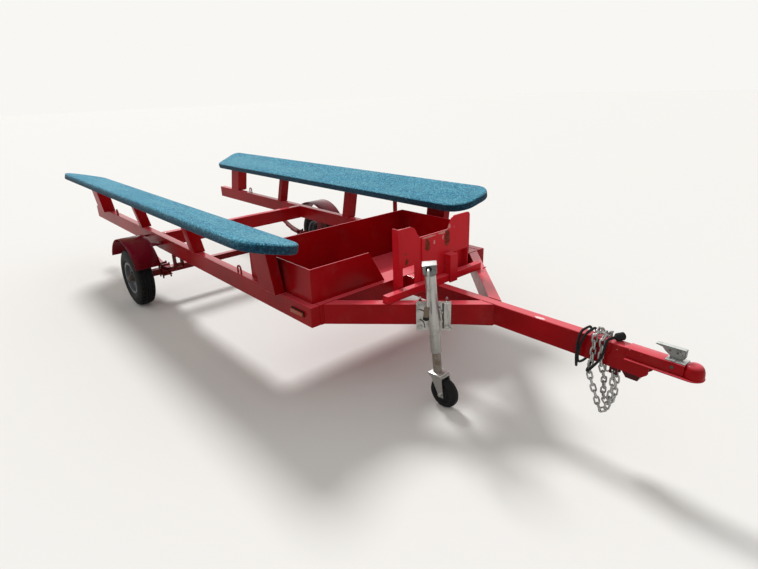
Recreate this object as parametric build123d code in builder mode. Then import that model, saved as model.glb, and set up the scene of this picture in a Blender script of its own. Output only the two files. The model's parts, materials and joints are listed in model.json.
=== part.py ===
from build123d import *
import os
from math import cos, hypot, radians, sin, sqrt

# A single-axle boat trailer with two carpeted bunks, standing on its swivel jack.
# Millimetres. +X runs forward to the coupler, +Y to the left side, +Z up.
# The origin is on the ground, under the middle of the trailer's outline.

os.makedirs("parts", exist_ok=True)

# Main frame
RAIL_FRONT = 1053.6
RAIL_LENGTH = 3460.0
RAIL_WIDTH = 51.0
RAIL_HEIGHT = 102.0
RAIL_TOP = 496.0
RAIL_BOTTOM = RAIL_TOP - RAIL_HEIGHT
FRAME_HALF = 644.0
RAIL_INNER = FRAME_HALF - RAIL_WIDTH
TUBE_WALL = 5.0
RAIL_REAR = RAIL_FRONT - RAIL_LENGTH
MEMBER_REAR = RAIL_FRONT - 120.0
REAR_MEMBER_FRONT = RAIL_FRONT - 1930.0

# A-frame and tongue
TONGUE_HALF = 25.5
TONGUE_END = RAIL_FRONT + 1262.0
KINK_HALF = 573.0
APEX_X = RAIL_FRONT + 576.0
CROSS_TUBE = 38.0
CROSS_TUBE_REAR = RAIL_FRONT + 190.0
CROSS_TUBE_RIGHT = -366.0
CROSS_TUBE_LEFT = 318.0

# Safety chains and the lamp lead, looped over the tongue
CHAIN_LUG_X = 1134.0
CHAIN_LUG_Y = 14.0
CHAIN_LUG_Z = RAIL_BOTTOM - 18.0
CHAIN_PITCH = 24.0
CHAIN_WIRE = 5.0
CHAIN_WIDTH = 22.0
CHAIN_REACH = 8.5
LEAD_DIAMETER = 8.0

# Tray
TRAY_REAR = RAIL_FRONT - 600.0
TRAY_FRONT = RAIL_FRONT - 35.0
TRAY_RIGHT = -609.0
TRAY_LEFT = 540.0
TRAY_TOP = RAIL_TOP + 170.0
TRAY_SHEET = 6.0

# Bunks and their posts
BUNK_THICKNESS = 38.0
BUNK_FRONT = RAIL_FRONT - 112.0
BUNK_REAR_INNER = RAIL_FRONT - 3360.0

# Axle, wheels and fenders
AXLE_X = RAIL_FRONT - 1980.0
TYRE_RADIUS = 208.5
TYRE_HALF_WIDTH = 61.0
AXLE_Z = TYRE_RADIUS
AXLE_SIZE = 44.0
WHEEL_Y = 815.0
RIM_RADIUS = 104.0
FLANGE_RADIUS = 116.0
SPINDLE_RADIUS = 13.0
HUB_RADIUS = 26.0
FENDER_RADIUS = 290.0
FENDER_SHEET = 3.0
FENDER_INNER_Y = 722.0
FENDER_OUTER_Y = 892.0

# Jack on the right diagonal
JACK_STATION = 516.0
JACK_PIVOT_Z = 440.0
JACK_LEAN = 4.3
JACK_OFFSET = 50.5
JACK_TUBE_RADIUS = 25.5
JACK_BORE_RADIUS = 21.0
RAM_RADIUS = 20.7
CASTER_RADIUS = 76.0
CASTER_WIDTH = 44.0
CASTER_TRAIL = 34.0

# Coupler for a 50.8 mm ball
BALL_X = RAIL_FRONT + 1400.0
BALL_Z = 468.0
SOCKET_RADIUS = 26.0
COUPLER_TOP = RAIL_TOP + 3.0
COUPLER_SKIRT = 440.0
COUPLER_REAR = RAIL_FRONT + 1175.0


def block(x, y, z, mode=Mode.ADD):
    """Adds, or cuts, a straight block that fills the ranges x, y and z."""
    with Locations(((x[0] + x[1]) / 2, (y[0] + y[1]) / 2, (z[0] + z[1]) / 2)):
        Box(x[1] - x[0], y[1] - y[0], z[1] - z[0], mode=mode)


def prism(plane, points, depth, mode=Mode.ADD):
    """Adds, or cuts, the outline of points pushed depth along the plane's normal."""
    with BuildSketch(plane) as outline:
        Polygon(*points, align=None)
    extrude(outline.sketch, amount=depth, mode=mode)


def save(name, piece):
    """Labels a finished piece and writes it under its own name."""
    piece.part.label = name
    export_step(piece.part, f"parts/{name}.step")


# Side rails, rectangular tube open at the rear end
rails = (("rail_right", -1), ("rail_left", 1))
for name, side in rails:
    near, far = sorted((side * RAIL_INNER, side * FRAME_HALF))
    with BuildPart() as rail:
        block((RAIL_REAR, RAIL_FRONT), (near, far), (RAIL_BOTTOM, RAIL_TOP))
        block(
            (RAIL_REAR - 1, RAIL_FRONT - TUBE_WALL),
            (near + TUBE_WALL, far - TUBE_WALL),
            (RAIL_BOTTOM + TUBE_WALL, RAIL_TOP - TUBE_WALL),
            Mode.SUBTRACT,
        )
    save(name, rail)

# Cross-members between the rails
with BuildPart() as front_crossmember:
    block((MEMBER_REAR, RAIL_FRONT), (-RAIL_INNER, RAIL_INNER), (RAIL_BOTTOM, RAIL_TOP))
    block(
        (MEMBER_REAR + TUBE_WALL, RAIL_FRONT - TUBE_WALL),
        (-RAIL_INNER, RAIL_INNER),
        (RAIL_BOTTOM + TUBE_WALL, RAIL_TOP - TUBE_WALL),
        Mode.SUBTRACT,
    )
save("front_crossmember", front_crossmember)

with BuildPart() as rear_crossmember:
    rear_face = REAR_MEMBER_FRONT - RAIL_WIDTH
    block((rear_face, REAR_MEMBER_FRONT), (-RAIL_INNER, RAIL_INNER), (RAIL_BOTTOM, RAIL_TOP))
    block(
        (rear_face + TUBE_WALL, REAR_MEMBER_FRONT - TUBE_WALL),
        (-RAIL_INNER, RAIL_INNER),
        (RAIL_BOTTOM + TUBE_WALL, RAIL_TOP - TUBE_WALL),
        Mode.SUBTRACT,
    )
save("rear_crossmember", rear_crossmember)

# A-frame: two mitred diagonals from the front member to the tongue
run_x = APEX_X - RAIL_FRONT
run_y = KINK_HALF - TONGUE_HALF
diagonal_length = hypot(run_x, run_y)
along = (run_x / diagonal_length, run_y / diagonal_length)
outward = (along[1], -along[0])


def diagonal_plan(outer_inset, inner_inset):
    """Plan outline of the right diagonal, inset from its outer and inner faces."""
    slope = run_y / run_x
    step = diagonal_length / run_x
    outer_y = -KINK_HALF + outer_inset * step
    inner_y = -KINK_HALF + (RAIL_WIDTH - inner_inset) * step
    return (
        (RAIL_FRONT, outer_y),
        (RAIL_FRONT + (-TONGUE_HALF - outer_y) / slope, -TONGUE_HALF),
        (RAIL_FRONT + (-TONGUE_HALF - inner_y) / slope, -TONGUE_HALF),
        (RAIL_FRONT, inner_y),
    )


for name, side in (("diagonal_right", 1), ("diagonal_left", -1)):
    outer_plan = [(x, side * y) for x, y in diagonal_plan(0, 0)]
    inner_plan = [(x, side * y) for x, y in diagonal_plan(TUBE_WALL, TUBE_WALL)]
    with BuildPart() as diagonal:
        prism(Plane.XY.offset(RAIL_BOTTOM), outer_plan, RAIL_HEIGHT)
        hollow = Plane.XY.offset(RAIL_BOTTOM + TUBE_WALL)
        prism(hollow, inner_plan, RAIL_HEIGHT - 2 * TUBE_WALL, Mode.SUBTRACT)
    save(name, diagonal)

with BuildPart() as tongue_tube:
    block((RAIL_FRONT, TONGUE_END), (-TONGUE_HALF, TONGUE_HALF), (RAIL_BOTTOM, RAIL_TOP))
    block(
        (RAIL_FRONT, TONGUE_END + 1),
        (-TONGUE_HALF + TUBE_WALL, TONGUE_HALF - TUBE_WALL),
        (RAIL_BOTTOM + TUBE_WALL, RAIL_TOP - TUBE_WALL),
        Mode.SUBTRACT,
    )
    prism(
        Plane.XZ.offset(-TONGUE_HALF - 1),
        (
            (TONGUE_END - 24, RAIL_BOTTOM - 1),
            (TONGUE_END + 2, RAIL_BOTTOM - 1),
            (TONGUE_END + 2, RAIL_BOTTOM + 22),
        ),
        2 * TONGUE_HALF + 2,
        Mode.SUBTRACT,
    )
save("tongue_tube", tongue_tube)

# Plates under the tongue: a gusset at the apex and the one that holds the safety chains
with BuildPart() as tongue_plates:
    prism(
        Plane.XY.offset(RAIL_BOTTOM - 6),
        ((APEX_X - 110, -112), (APEX_X - 8, -28), (APEX_X - 8, 28), (APEX_X - 110, 112)),
        6,
    )
    prism(
        Plane.XZ.offset(-22),
        (
            (RAIL_FRONT + 1166, RAIL_BOTTOM),
            (RAIL_FRONT + 1184, RAIL_BOTTOM - 22),
            (RAIL_FRONT + 1228, RAIL_BOTTOM - 22),
            (RAIL_FRONT + 1236, RAIL_BOTTOM),
        ),
        44,
    )
    for side in (-1, 1):
        with BuildSketch(Plane.XZ.offset(-side * CHAIN_LUG_Y - 3)):
            with Locations((RAIL_FRONT + CHAIN_LUG_X, RAIL_BOTTOM - 15)):
                Rectangle(32, 30)
            with Locations((RAIL_FRONT + CHAIN_LUG_X, CHAIN_LUG_Z)):
                RegularPolygon(8, 8, mode=Mode.SUBTRACT)
        extrude(amount=6)
save("tongue_plates", tongue_plates)



def march(route, step):
    """Points on a route of straight runs, each a step's chord from the one before."""
    spots = [Vector(*route[0])]
    for low, high in zip(route, route[1:]):
        low, high = Vector(*low), Vector(*high)
        while (high - spots[-1]).length >= step:
            inside, outside = 0.0, 1.0
            for halving in range(30):
                middle = (inside + outside) / 2
                if (low + (high - low) * middle - spots[-1]).length < step:
                    inside = middle
                else:
                    outside = middle
            spots.append(low + (high - low) * outside)
            low = spots[-1]
    return spots


# Routes of the chains: x ahead of the rails, y and z, from the lug and over the tongue
near_chain = (
    (CHAIN_LUG_X, -CHAIN_LUG_Y, CHAIN_LUG_Z - 4.25), (1140, -20, 331), (1139, -25, 285), (1137, -28, 226),
    (1130, -29, 199), (1116, -30, 187), (1102, -30, 199), (1094, -30, 226), (1067, -36, 300),
    (1050, -39, 345), (1052, -38, 385), (1055, -37, 420), (1056, -37, 482), (1054, -38, 505),
    (1052, -22, 517), (1050, 0, 508), (1048, 22, 517), (1050, 38, 505), (1054, 37, 478), (1058, 37, 400), (1062, 36, 330),
)
far_chain = (
    (CHAIN_LUG_X, CHAIN_LUG_Y, CHAIN_LUG_Z - 4.25), (1141, 12, 330), (1142, 8, 252), (1136, 6, 226),
    (1121, 4, 213), (1107, 1, 226), (1102, -4, 252), (1105, -16, 310), (1107, -30, 352), (1095, -37, 388),
    (1088, -37, 420), (1088, -37, 482), (1087, -39, 505), (1086, -22, 517), (1084, 0, 508), (1083, 22, 517), (1084, 39, 505),
    (1086, 37, 478), (1088, 37, 400), (1092, 36, 330),
)
link_half = (CHAIN_PITCH + CHAIN_REACH) / 2
with BuildPart() as safety_chains:
    links = []
    for chain_route in (near_chain, far_chain):
        joints = march([(RAIL_FRONT + x, y, z) for x, y, z in chain_route], CHAIN_PITCH)
        for count, (low, high) in enumerate(zip(joints, joints[1:])):
            way = (high - low).normalized()
            across = (Vector(1, 0, 0) - way * way.X).normalized()
            roll = radians(90 * (count + 1) - min(45, 11 * count))
            flat = across * cos(roll) + way.cross(across) * sin(roll)
            link_plane = Plane(origin=(low + high) * 0.5, x_dir=way, z_dir=way.cross(flat))
            with BuildSketch(link_plane) as link:
                for mode, grow in ((Mode.ADD, CHAIN_WIRE / 2), (Mode.SUBTRACT, -CHAIN_WIRE / 2)):
                    long, wide = link_half + grow, (CHAIN_WIDTH - CHAIN_WIRE) / 2 + grow
                    cut = 0.55 * wide
                    corner = ((long, wide - cut), (long - cut, wide), (cut - long, wide), (-long, wide - cut))
                    Polygon(*corner, *[(-x, -y) for x, y in corner], align=None, mode=mode)
            links.append(extrude(link.sketch, amount=CHAIN_WIRE / 2, both=True, mode=Mode.PRIVATE))
    add(links)
save("safety_chains", safety_chains)

# The lamp lead comes out of the tongue's underside and winds round it to its plug
lead_route = [
    (RAIL_FRONT + x, y, z)
    for x, y, z in (
        (962, 0, RAIL_BOTTOM), (962, 0, 356), (984, -44, 350), (982, -55, 432), (987, -42, 512),
        (994, 2, 521), (1000, 45, 510), (1004, 55, 440), (1003, 44, 372), (1001, 0, 358), (1002, -45, 374),
        (1005, -54, 445), (1018, -42, 511), (1020, 2, 521), (1021, 45, 510), (1022, 56, 440), (1022, 46, 372),
        (1024, -2, 350), (1030, -58, 356), (1056, -66, 400), (1094, -65, 450), (1110, -57, 490),
        (1114, -42, 516), (1121, -23, 513), (1129, -7, 513),
    )
]


def tube_along(route, diameter):
    """Solid tube along straight runs joined by tangent arcs."""
    spots = [Vector(*place) for place in route]
    edges = []
    start = spots[0]
    for before, here, after in zip(spots, spots[1:], spots[2:]):
        inward, onward = (here - before).normalized(), (after - here).normalized()
        reach = 0.45 * min((here - before).length, (after - here).length)
        half_turn = radians(inward.get_angle(onward)) / 2
        radius = reach * cos(half_turn) / sin(half_turn)
        bend_in, bend_out = here - inward * reach, here + onward * reach
        to_centre = (onward - inward).normalized()
        middle = here + to_centre * (radius / cos(half_turn) - radius)
        edges.append(Edge.make_line(start, bend_in))
        edges.append(Edge.make_three_point_arc(bend_in, middle, bend_out))
        start = bend_out
    edges.append(Edge.make_line(start, spots[-1]))
    path = Wire(edges)
    end_plane = Plane(origin=spots[0], z_dir=spots[1] - spots[0])
    with BuildSketch(end_plane) as section:
        Circle(diameter / 2)
    sweep(section.sketch, path=path)


with BuildPart() as wiring_lead:
    tube_along(lead_route, LEAD_DIAMETER)
save("wiring_lead", wiring_lead)

with BuildPart() as wiring_plug:
    plug_start = Vector(*lead_route[-1])
    plug_way = (plug_start - Vector(*lead_route[-2])).normalized()
    for gap, length, radius in ((0, 10, 9), (10, 34, 16.5)):
        with BuildSketch(Plane(origin=plug_start + plug_way * gap, z_dir=plug_way)):
            Circle(radius)
        extrude(amount=length)
save("wiring_plug", wiring_plug)

# Tube across the A-frame that carries the bow stop
with BuildPart() as cross_tube:
    block(
        (CROSS_TUBE_REAR, CROSS_TUBE_REAR + CROSS_TUBE),
        (CROSS_TUBE_RIGHT, CROSS_TUBE_LEFT),
        (RAIL_TOP, RAIL_TOP + CROSS_TUBE),
    )
    block(
        (CROSS_TUBE_REAR + 3, CROSS_TUBE_REAR + CROSS_TUBE - 3),
        (CROSS_TUBE_RIGHT - 1, CROSS_TUBE_LEFT + 1),
        (RAIL_TOP + 3, RAIL_TOP + CROSS_TUBE - 3),
        Mode.SUBTRACT,
    )
save("cross_tube", cross_tube)

# Open tray of sheet between the rails
with BuildPart() as tray_floor:
    floor_left = TRAY_LEFT - TRAY_SHEET - 0.1
    block((TRAY_REAR, MEMBER_REAR), (-RAIL_INNER, floor_left), (RAIL_BOTTOM, RAIL_BOTTOM + 3))
save("tray_floor", tray_floor)

with BuildPart() as tray_rear_wall:
    prism(
        Plane.YZ.offset(TRAY_REAR - TRAY_SHEET),
        (
            (-RAIL_INNER, RAIL_BOTTOM),
            (RAIL_INNER, RAIL_BOTTOM),
            (RAIL_INNER, RAIL_TOP),
            (TRAY_LEFT, RAIL_TOP),
            (TRAY_LEFT, TRAY_TOP),
            (TRAY_RIGHT, TRAY_TOP),
            (TRAY_RIGHT, RAIL_TOP),
            (-RAIL_INNER, RAIL_TOP),
        ),
        TRAY_SHEET,
    )
save("tray_rear_wall", tray_rear_wall)

with BuildPart() as tray_side_walls:
    block((TRAY_REAR, TRAY_FRONT), (TRAY_RIGHT, TRAY_RIGHT + TRAY_SHEET), (RAIL_TOP, TRAY_TOP))
    block((TRAY_REAR, TRAY_FRONT), (TRAY_LEFT - TRAY_SHEET, TRAY_LEFT), (RAIL_TOP, TRAY_TOP))
    block((TRAY_REAR, MEMBER_REAR), (TRAY_LEFT - TRAY_SHEET, TRAY_LEFT), (RAIL_BOTTOM, RAIL_TOP))
save("tray_side_walls", tray_side_walls)

with BuildPart() as tray_front_walls:
    for side, reach in ((-1, -TRAY_RIGHT - TRAY_SHEET - 0.1), (1, TRAY_LEFT - TRAY_SHEET - 0.1)):
        outline = ((reach, RAIL_TOP), (reach, TRAY_TOP), (248, TRAY_TOP), (150, RAIL_TOP))
        prism(Plane.YZ.offset(TRAY_FRONT - TRAY_SHEET), [(side * y, z) for y, z in outline], TRAY_SHEET)
save("tray_front_walls", tray_front_walls)

# Bow stop: a plate with two ears, a centre plate and its posts
STOP_FRONT = CROSS_TUBE_REAR
STOP_TOP = 822.0
with BuildPart() as bow_stop_plate:
    with BuildSketch(Plane.YZ.offset(STOP_FRONT - 6)):
        with BuildLine():
            Polyline((-116, 759), (90, 759), (106, 793))
            ThreePointArc((106, 793), (119, 813), (142, STOP_TOP))
            Line((142, STOP_TOP), (238, STOP_TOP))
            ThreePointArc((238, STOP_TOP), (253, 816), (259, 801))
            Polyline((259, 801), (259, 630), (56, 630), (56, RAIL_TOP), (-150, RAIL_TOP), (-150, 630))
            Polyline((-150, 630), (-256, 630), (-256, STOP_TOP), (-178, STOP_TOP))
            ThreePointArc((-178, STOP_TOP), (-152, 810), (-136, 785))
            Line((-136, 785), (-116, 759))
        make_face()
    extrude(amount=6)
    block((STOP_FRONT, STOP_FRONT + 6), (-106, 56), (RAIL_TOP + CROSS_TUBE, 754))
save("bow_stop_plate", bow_stop_plate)

with BuildPart() as bow_stop_posts:
    block((STOP_FRONT - 44, STOP_FRONT - 6), (-256, -251), (RAIL_TOP, STOP_TOP))
    block((STOP_FRONT - 11, STOP_FRONT - 6), (-256, -226), (RAIL_TOP, STOP_TOP))
    block((STOP_FRONT - 46, STOP_FRONT - 40), (90, 259), (RAIL_TOP, 640))
    for near in (90, 161, 253):
        block((STOP_FRONT - 40, STOP_FRONT - 6), (near, near + 6), (RAIL_TOP, 640))
    prism(
        Plane.XZ.offset(-113),
        (
            (STOP_FRONT + CROSS_TUBE, 492),
            (STOP_FRONT + CROSS_TUBE + 9, 492),
            (STOP_FRONT + CROSS_TUBE + 9, 638),
            (STOP_FRONT, 638),
            (STOP_FRONT, RAIL_TOP + CROSS_TUBE),
            (STOP_FRONT + CROSS_TUBE, RAIL_TOP + CROSS_TUBE),
        ),
        56,
    )
save("bow_stop_posts", bow_stop_posts)

# Each bunk's top: name, side, inner edge y and z, outer edge y and z, outer end, end radius
bunks = (
    ("bunk_right", -1, 545.0, 750.0, 878.0, 842.0, RAIL_FRONT - 3500.0, 190.0),
    ("bunk_left", 1, 545.0, 750.0, 884.0, 820.0, RAIL_FRONT - 3600.0, 60.0),
)
bunk_slopes = {}
bunk_unders = {}
for name, side, inner_y, inner_z, outer_y, outer_z, end, radius in bunks:
    slope = (outer_z - inner_z) / (outer_y - inner_y)
    bunk_slopes[side] = slope
    bunk_unders[side] = inner_z - BUNK_THICKNESS * sqrt(1 + slope**2) - slope * inner_y


def under_bunk(side, y):
    """Height of the bunk's underside, y measured outward."""
    return bunk_unders[side] + bunk_slopes[side] * y


# Bunk posts lean outward from the rail top to the underside of the bunks
def post_outline(side, foot_y, half_width, lean_angle):
    """Section of a leaning post, cut level at the foot and on the bunk's slope at the head."""
    spread = half_width / cos(radians(lean_angle))
    lean = sin(radians(lean_angle)) / cos(radians(lean_angle))
    corners = []
    for edge in (-spread, spread):
        foot = foot_y + edge
        rise = (under_bunk(side, foot) - RAIL_TOP) / (1 - bunk_slopes[side] * lean)
        corners.append(((foot, RAIL_TOP), (foot + lean * rise, RAIL_TOP + rise)))
    return corners[0][0], corners[1][0], corners[1][1], corners[0][1]


# Each pair of posts: node, right front face, left front face, length, foot y, width, lean in degrees
posts = (
    ("wide_bunk_posts", RAIL_FRONT - 3060, RAIL_FRONT - 3060, 150.0, 640.0, 92.0, 8.0),
    ("narrow_bunk_posts", RAIL_FRONT - 2225, RAIL_FRONT - 2225, 51.0, 612.0, 70.0, 12.0),
    ("narrow_bunk_posts", RAIL_FRONT - 1255, RAIL_FRONT - 1255, 76.0, 618.0, 70.0, 11.0),
    ("wide_bunk_posts", RAIL_FRONT - 260, RAIL_FRONT - 324, 150.0, 644.0, 56.0, 8.0),
)
for name in ("wide_bunk_posts", "narrow_bunk_posts"):
    with BuildPart() as bunk_posts:
        for node, right_front, left_front, length, foot_y, width, lean_angle in posts:
            if node != name:
                continue
            slide = 9 * sin(radians(lean_angle)) / cos(radians(lean_angle))
            for side, front in ((-1, right_front), (1, left_front)):
                inside = post_outline(side, foot_y, width / 2 - TUBE_WALL, lean_angle)
                outline = [(side * y, z) for y, z in post_outline(side, foot_y, width / 2, lean_angle)]
                prism(Plane.YZ.offset(front - length), outline, length)
                low = [(side * (y - slide), z - 9) for y, z in inside[:2]]
                high = [(side * (y + slide), z + 9) for y, z in inside[2:]]
                hollow = Plane.YZ.offset(front - length + TUBE_WALL)
                prism(hollow, low + high, length - 2 * TUBE_WALL, Mode.SUBTRACT)
    save(name, bunk_posts)

# Bunks: wide boards that tilt inward, rounded in plan
for name, side, inner_y, inner_z, outer_y, outer_z, end, radius in bunks:
    middle = (0, side * (inner_y + outer_y) / 2, (inner_z + outer_z) / 2)
    normal = (0, side * (inner_z - outer_z), outer_y - inner_y)
    top = Plane(origin=middle, x_dir=(1, 0, 0), z_dir=normal)
    half = hypot(outer_y - inner_y, outer_z - inner_z) / 2
    with BuildPart() as bunk:
        with BuildSketch(top.offset(-BUNK_THICKNESS)) as plan:
            Polygon(
                (BUNK_REAR_INNER, -side * half),
                (BUNK_FRONT, -side * half),
                (BUNK_FRONT, side * half),
                (end, side * half),
                align=None,
            )
            fillet(plan.vertices().sort_by(Axis.X)[-2:], 130)
            fillet(plan.vertices().sort_by(Axis.X)[1:2], 80)
            fillet(plan.vertices().sort_by(Axis.X)[:1], radius)
        extrude(amount=BUNK_THICKNESS)
    save(name, bunk)

# Slim strut under the left bunk
with BuildPart() as bunk_strut:
    head = ((625, under_bunk(1, 625)), (613, under_bunk(1, 613)))
    prism(Plane.YZ.offset(RAIL_FRONT - 775), ((613, RAIL_TOP), (625, RAIL_TOP)) + head, 30)
save("bunk_strut", bunk_strut)

# Straight axle with a spindle at each end
with BuildPart() as axle:
    half_axle = AXLE_SIZE / 2
    block((AXLE_X - half_axle, AXLE_X + half_axle), (-752, 752), (AXLE_Z - half_axle, AXLE_Z + half_axle))
    for side in (-1, 1):
        with BuildSketch(Plane.XZ.offset(-side * 752)):
            with Locations((AXLE_X, AXLE_Z)):
                Circle(SPINDLE_RADIUS)
        extrude(amount=-side * 70)
save("axle", axle)

# Leaf springs on top of the axle, under the rails
SPRING_Y = (RAIL_INNER + FRAME_HALF) / 2
SPRING_SEAT = AXLE_Z + AXLE_SIZE / 2
SPRING_HALF = 330.0
SPRING_RISE = 82.0
LEAF = 7.0
spring_bend = (SPRING_HALF**2 + SPRING_RISE**2) / (2 * SPRING_RISE)
with BuildPart() as leaf_springs:
    for side in (-1, 1):
        for leaf, reach in ((0, 160.0), (1, 240.0), (2, SPRING_HALF)):
            low = spring_bend - LEAF * leaf
            high = low - LEAF
            centre_z = SPRING_SEAT + spring_bend
            angle = reach / spring_bend
            with BuildSketch(Plane.XZ.offset(-(side * SPRING_Y - 22))):
                with BuildLine():
                    ends = []
                    for radius in (low, high):
                        left = (AXLE_X - radius * sin(angle), centre_z - radius * cos(angle))
                        right = (AXLE_X + radius * sin(angle), centre_z - radius * cos(angle))
                        ThreePointArc(left, (AXLE_X, centre_z - radius), right)
                        ends.append((left, right))
                    Line(ends[0][0], ends[1][0])
                    Line(ends[0][1], ends[1][1])
                make_face()
            extrude(amount=-44)
        for end in (-1, 1):
            eye = spring_bend - 2.5 * LEAF
            turn = SPRING_HALF / spring_bend
            middle = (AXLE_X + end * (eye * sin(turn) + 6), centre_z - eye * cos(turn))
            with BuildSketch(Plane.XZ.offset(-(side * SPRING_Y - 22))):
                with Locations(middle):
                    Circle(15)
                    Circle(8, mode=Mode.SUBTRACT)
            extrude(amount=-44)
save("leaf_springs", leaf_springs)

# Spring hangers under the rails
eye_angle = SPRING_HALF / spring_bend
eye_x = (spring_bend - 2.5 * LEAF) * sin(eye_angle)
eye_z = SPRING_SEAT + spring_bend - (spring_bend - 2.5 * LEAF) * cos(eye_angle)
with BuildPart() as spring_hangers:
    for side in (-1, 1):
        for end in (-1, 1):
            x = AXLE_X + end * (eye_x + 4)
            y = side * SPRING_Y
            block((x - 30, x + 30), (y - 28, y + 28), (eye_z - 20, RAIL_BOTTOM))
            block((x - 31, x + 31), (y - 22.5, y + 22.5), (eye_z - 21, RAIL_BOTTOM - 6), Mode.SUBTRACT)
save("spring_hangers", spring_hangers)

# U-bolts and tie plates that clamp each spring to the axle
with BuildPart() as axle_clamps:
    for side in (-1, 1):
        y = side * SPRING_Y
        block((AXLE_X - 48, AXLE_X + 48), (y - 34, y + 34), (AXLE_Z - 30, AXLE_Z - 22))
        for reach in (-30, 30):
            for gap in (-28, 28):
                with BuildSketch(Plane.XY.offset(AXLE_Z - 52)):
                    with Locations((AXLE_X + reach, y + gap)):
                        Circle(5.5)
                extrude(amount=112)
            bow = AXLE_X + reach
            block((bow - 5.5, bow + 5.5), (y - 28, y + 28), (SPRING_SEAT + 22, SPRING_SEAT + 33))
save("axle_clamps", axle_clamps)

# Fenders with the bars that hold them to the rails
for name, side in (("fender_right", -1), ("fender_left", 1)):
    inner_edge = side * FENDER_INNER_Y
    width = side * (FENDER_OUTER_Y - FENDER_INNER_Y)
    hub_plane = Plane(origin=(AXLE_X, inner_edge, AXLE_Z), x_dir=(1, 0, 0), z_dir=(0, -1, 0))
    with BuildPart() as fender:
        with BuildSketch(hub_plane):
            with BuildLine():
                CenterArc((0, 0), FENDER_RADIUS, 25, 130)
                CenterArc((0, 0), FENDER_RADIUS - FENDER_SHEET, 25, 130)
                for angle in (25, 155):
                    turn = radians(angle)
                    skin = (FENDER_RADIUS, FENDER_RADIUS - FENDER_SHEET)
                    Line(*[(r * cos(turn), r * sin(turn)) for r in skin])
            make_face()
        extrude(amount=-width)
        for angle in (60, 120):
            turn = radians(angle)
            reach = FENDER_RADIUS - 5.5
            foot = (AXLE_X + reach * cos(turn), side * FRAME_HALF, AXLE_Z + reach * sin(turn))
            with BuildSketch(Plane(origin=foot, x_dir=(-sin(turn), 0, cos(turn)), z_dir=(0, side, 0))):
                Rectangle(32, 6)
            extrude(amount=FENDER_OUTER_Y - FRAME_HALF - 14)
    save(name, fender)

# Wheels: tyre, slotted rim and hub on each side
for name, side in (("right", -1), ("left", 1)):
    section = Plane(origin=(AXLE_X, side * WHEEL_Y, AXLE_Z), x_dir=(0, 1, 0), z_dir=(1, 0, 0))
    spin = Axis((AXLE_X, side * WHEEL_Y, AXLE_Z), (0, 1, 0))
    with BuildPart() as tyre:
        with BuildSketch(section):
            with BuildLine():
                Line((-46.5, RIM_RADIUS + 0.3), (46.5, RIM_RADIUS + 0.3))
                Line((46.5, RIM_RADIUS + 0.3), (46.5, 118))
                ThreePointArc((46.5, 118), (TYRE_HALF_WIDTH, 152), (51, 190))
                Line((51, 190), (46, 200))
                ThreePointArc((46, 200), (0, TYRE_RADIUS), (-46, 200))
                Line((-46, 200), (-51, 190))
                ThreePointArc((-51, 190), (-TYRE_HALF_WIDTH, 152), (-46.5, 118))
                Line((-46.5, 118), (-46.5, RIM_RADIUS + 0.3))
            make_face()
            air = ((38, RIM_RADIUS), (39, 120), (52, 152), (44, 186), (20, 196))
            Polygon(*air, *[(-y, r) for y, r in air[::-1]], align=None, mode=Mode.SUBTRACT)
        revolve(axis=spin)
    save(f"tyre_{name}", tyre)
    with BuildPart() as rim:
        with BuildSketch(section):
            with BuildLine():
                lip = ((-51, FLANGE_RADIUS), (-47, FLANGE_RADIUS), (-46.8, RIM_RADIUS))
                seat = lip + ((-20, RIM_RADIUS), (-14, 88))
                back = ((18, 84), (24, 100), (50, 100), (51, 112), (51, FLANGE_RADIUS))
                outer_run = list(seat) + [(-y, r) for y, r in seat[::-1]]
                inner_run = list(back[::-1])[1:] + [(-y, r) for y, r in back]
                Polyline(*outer_run, *inner_run)
            make_face()
        revolve(axis=spin)
        with BuildSketch(section):
            with BuildLine():
                disc = ((14, 85), (20, 85), (26, 72), (18, 58), (18, 30.2), (13, 30.2), (13, 60), (20, 72))
                Polyline(*[(side * y, r) for y, r in disc], close=True)
            make_face()
        revolve(axis=spin)
        slot_plane = Plane(origin=(AXLE_X, side * WHEEL_Y, AXLE_Z), x_dir=(1, 0, 0), z_dir=(0, side, 0))
        with BuildSketch(slot_plane):
            with PolarLocations(72, 8):
                SlotOverall(24, 14, rotation=90)
        extrude(amount=40, mode=Mode.SUBTRACT)
    save(f"rim_{name}", rim)
    with BuildPart() as hub:
        with BuildSketch(section):
            with BuildLine():
                bore = SPINDLE_RADIUS + 0.05
                flange = ((-30, bore), (-30, HUB_RADIUS), (2, HUB_RADIUS), (6, 52), (12.8, 52), (12.8, 30))
                nose = ((44, 24), (44, 22), (62, 20), (66, 12), (66, 0), (10, 0), (10, bore))
                Polyline(*[(side * y, r) for y, r in flange + nose], close=True)
            make_face()
        revolve(axis=spin)
    save(f"hub_{name}", hub)

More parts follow.
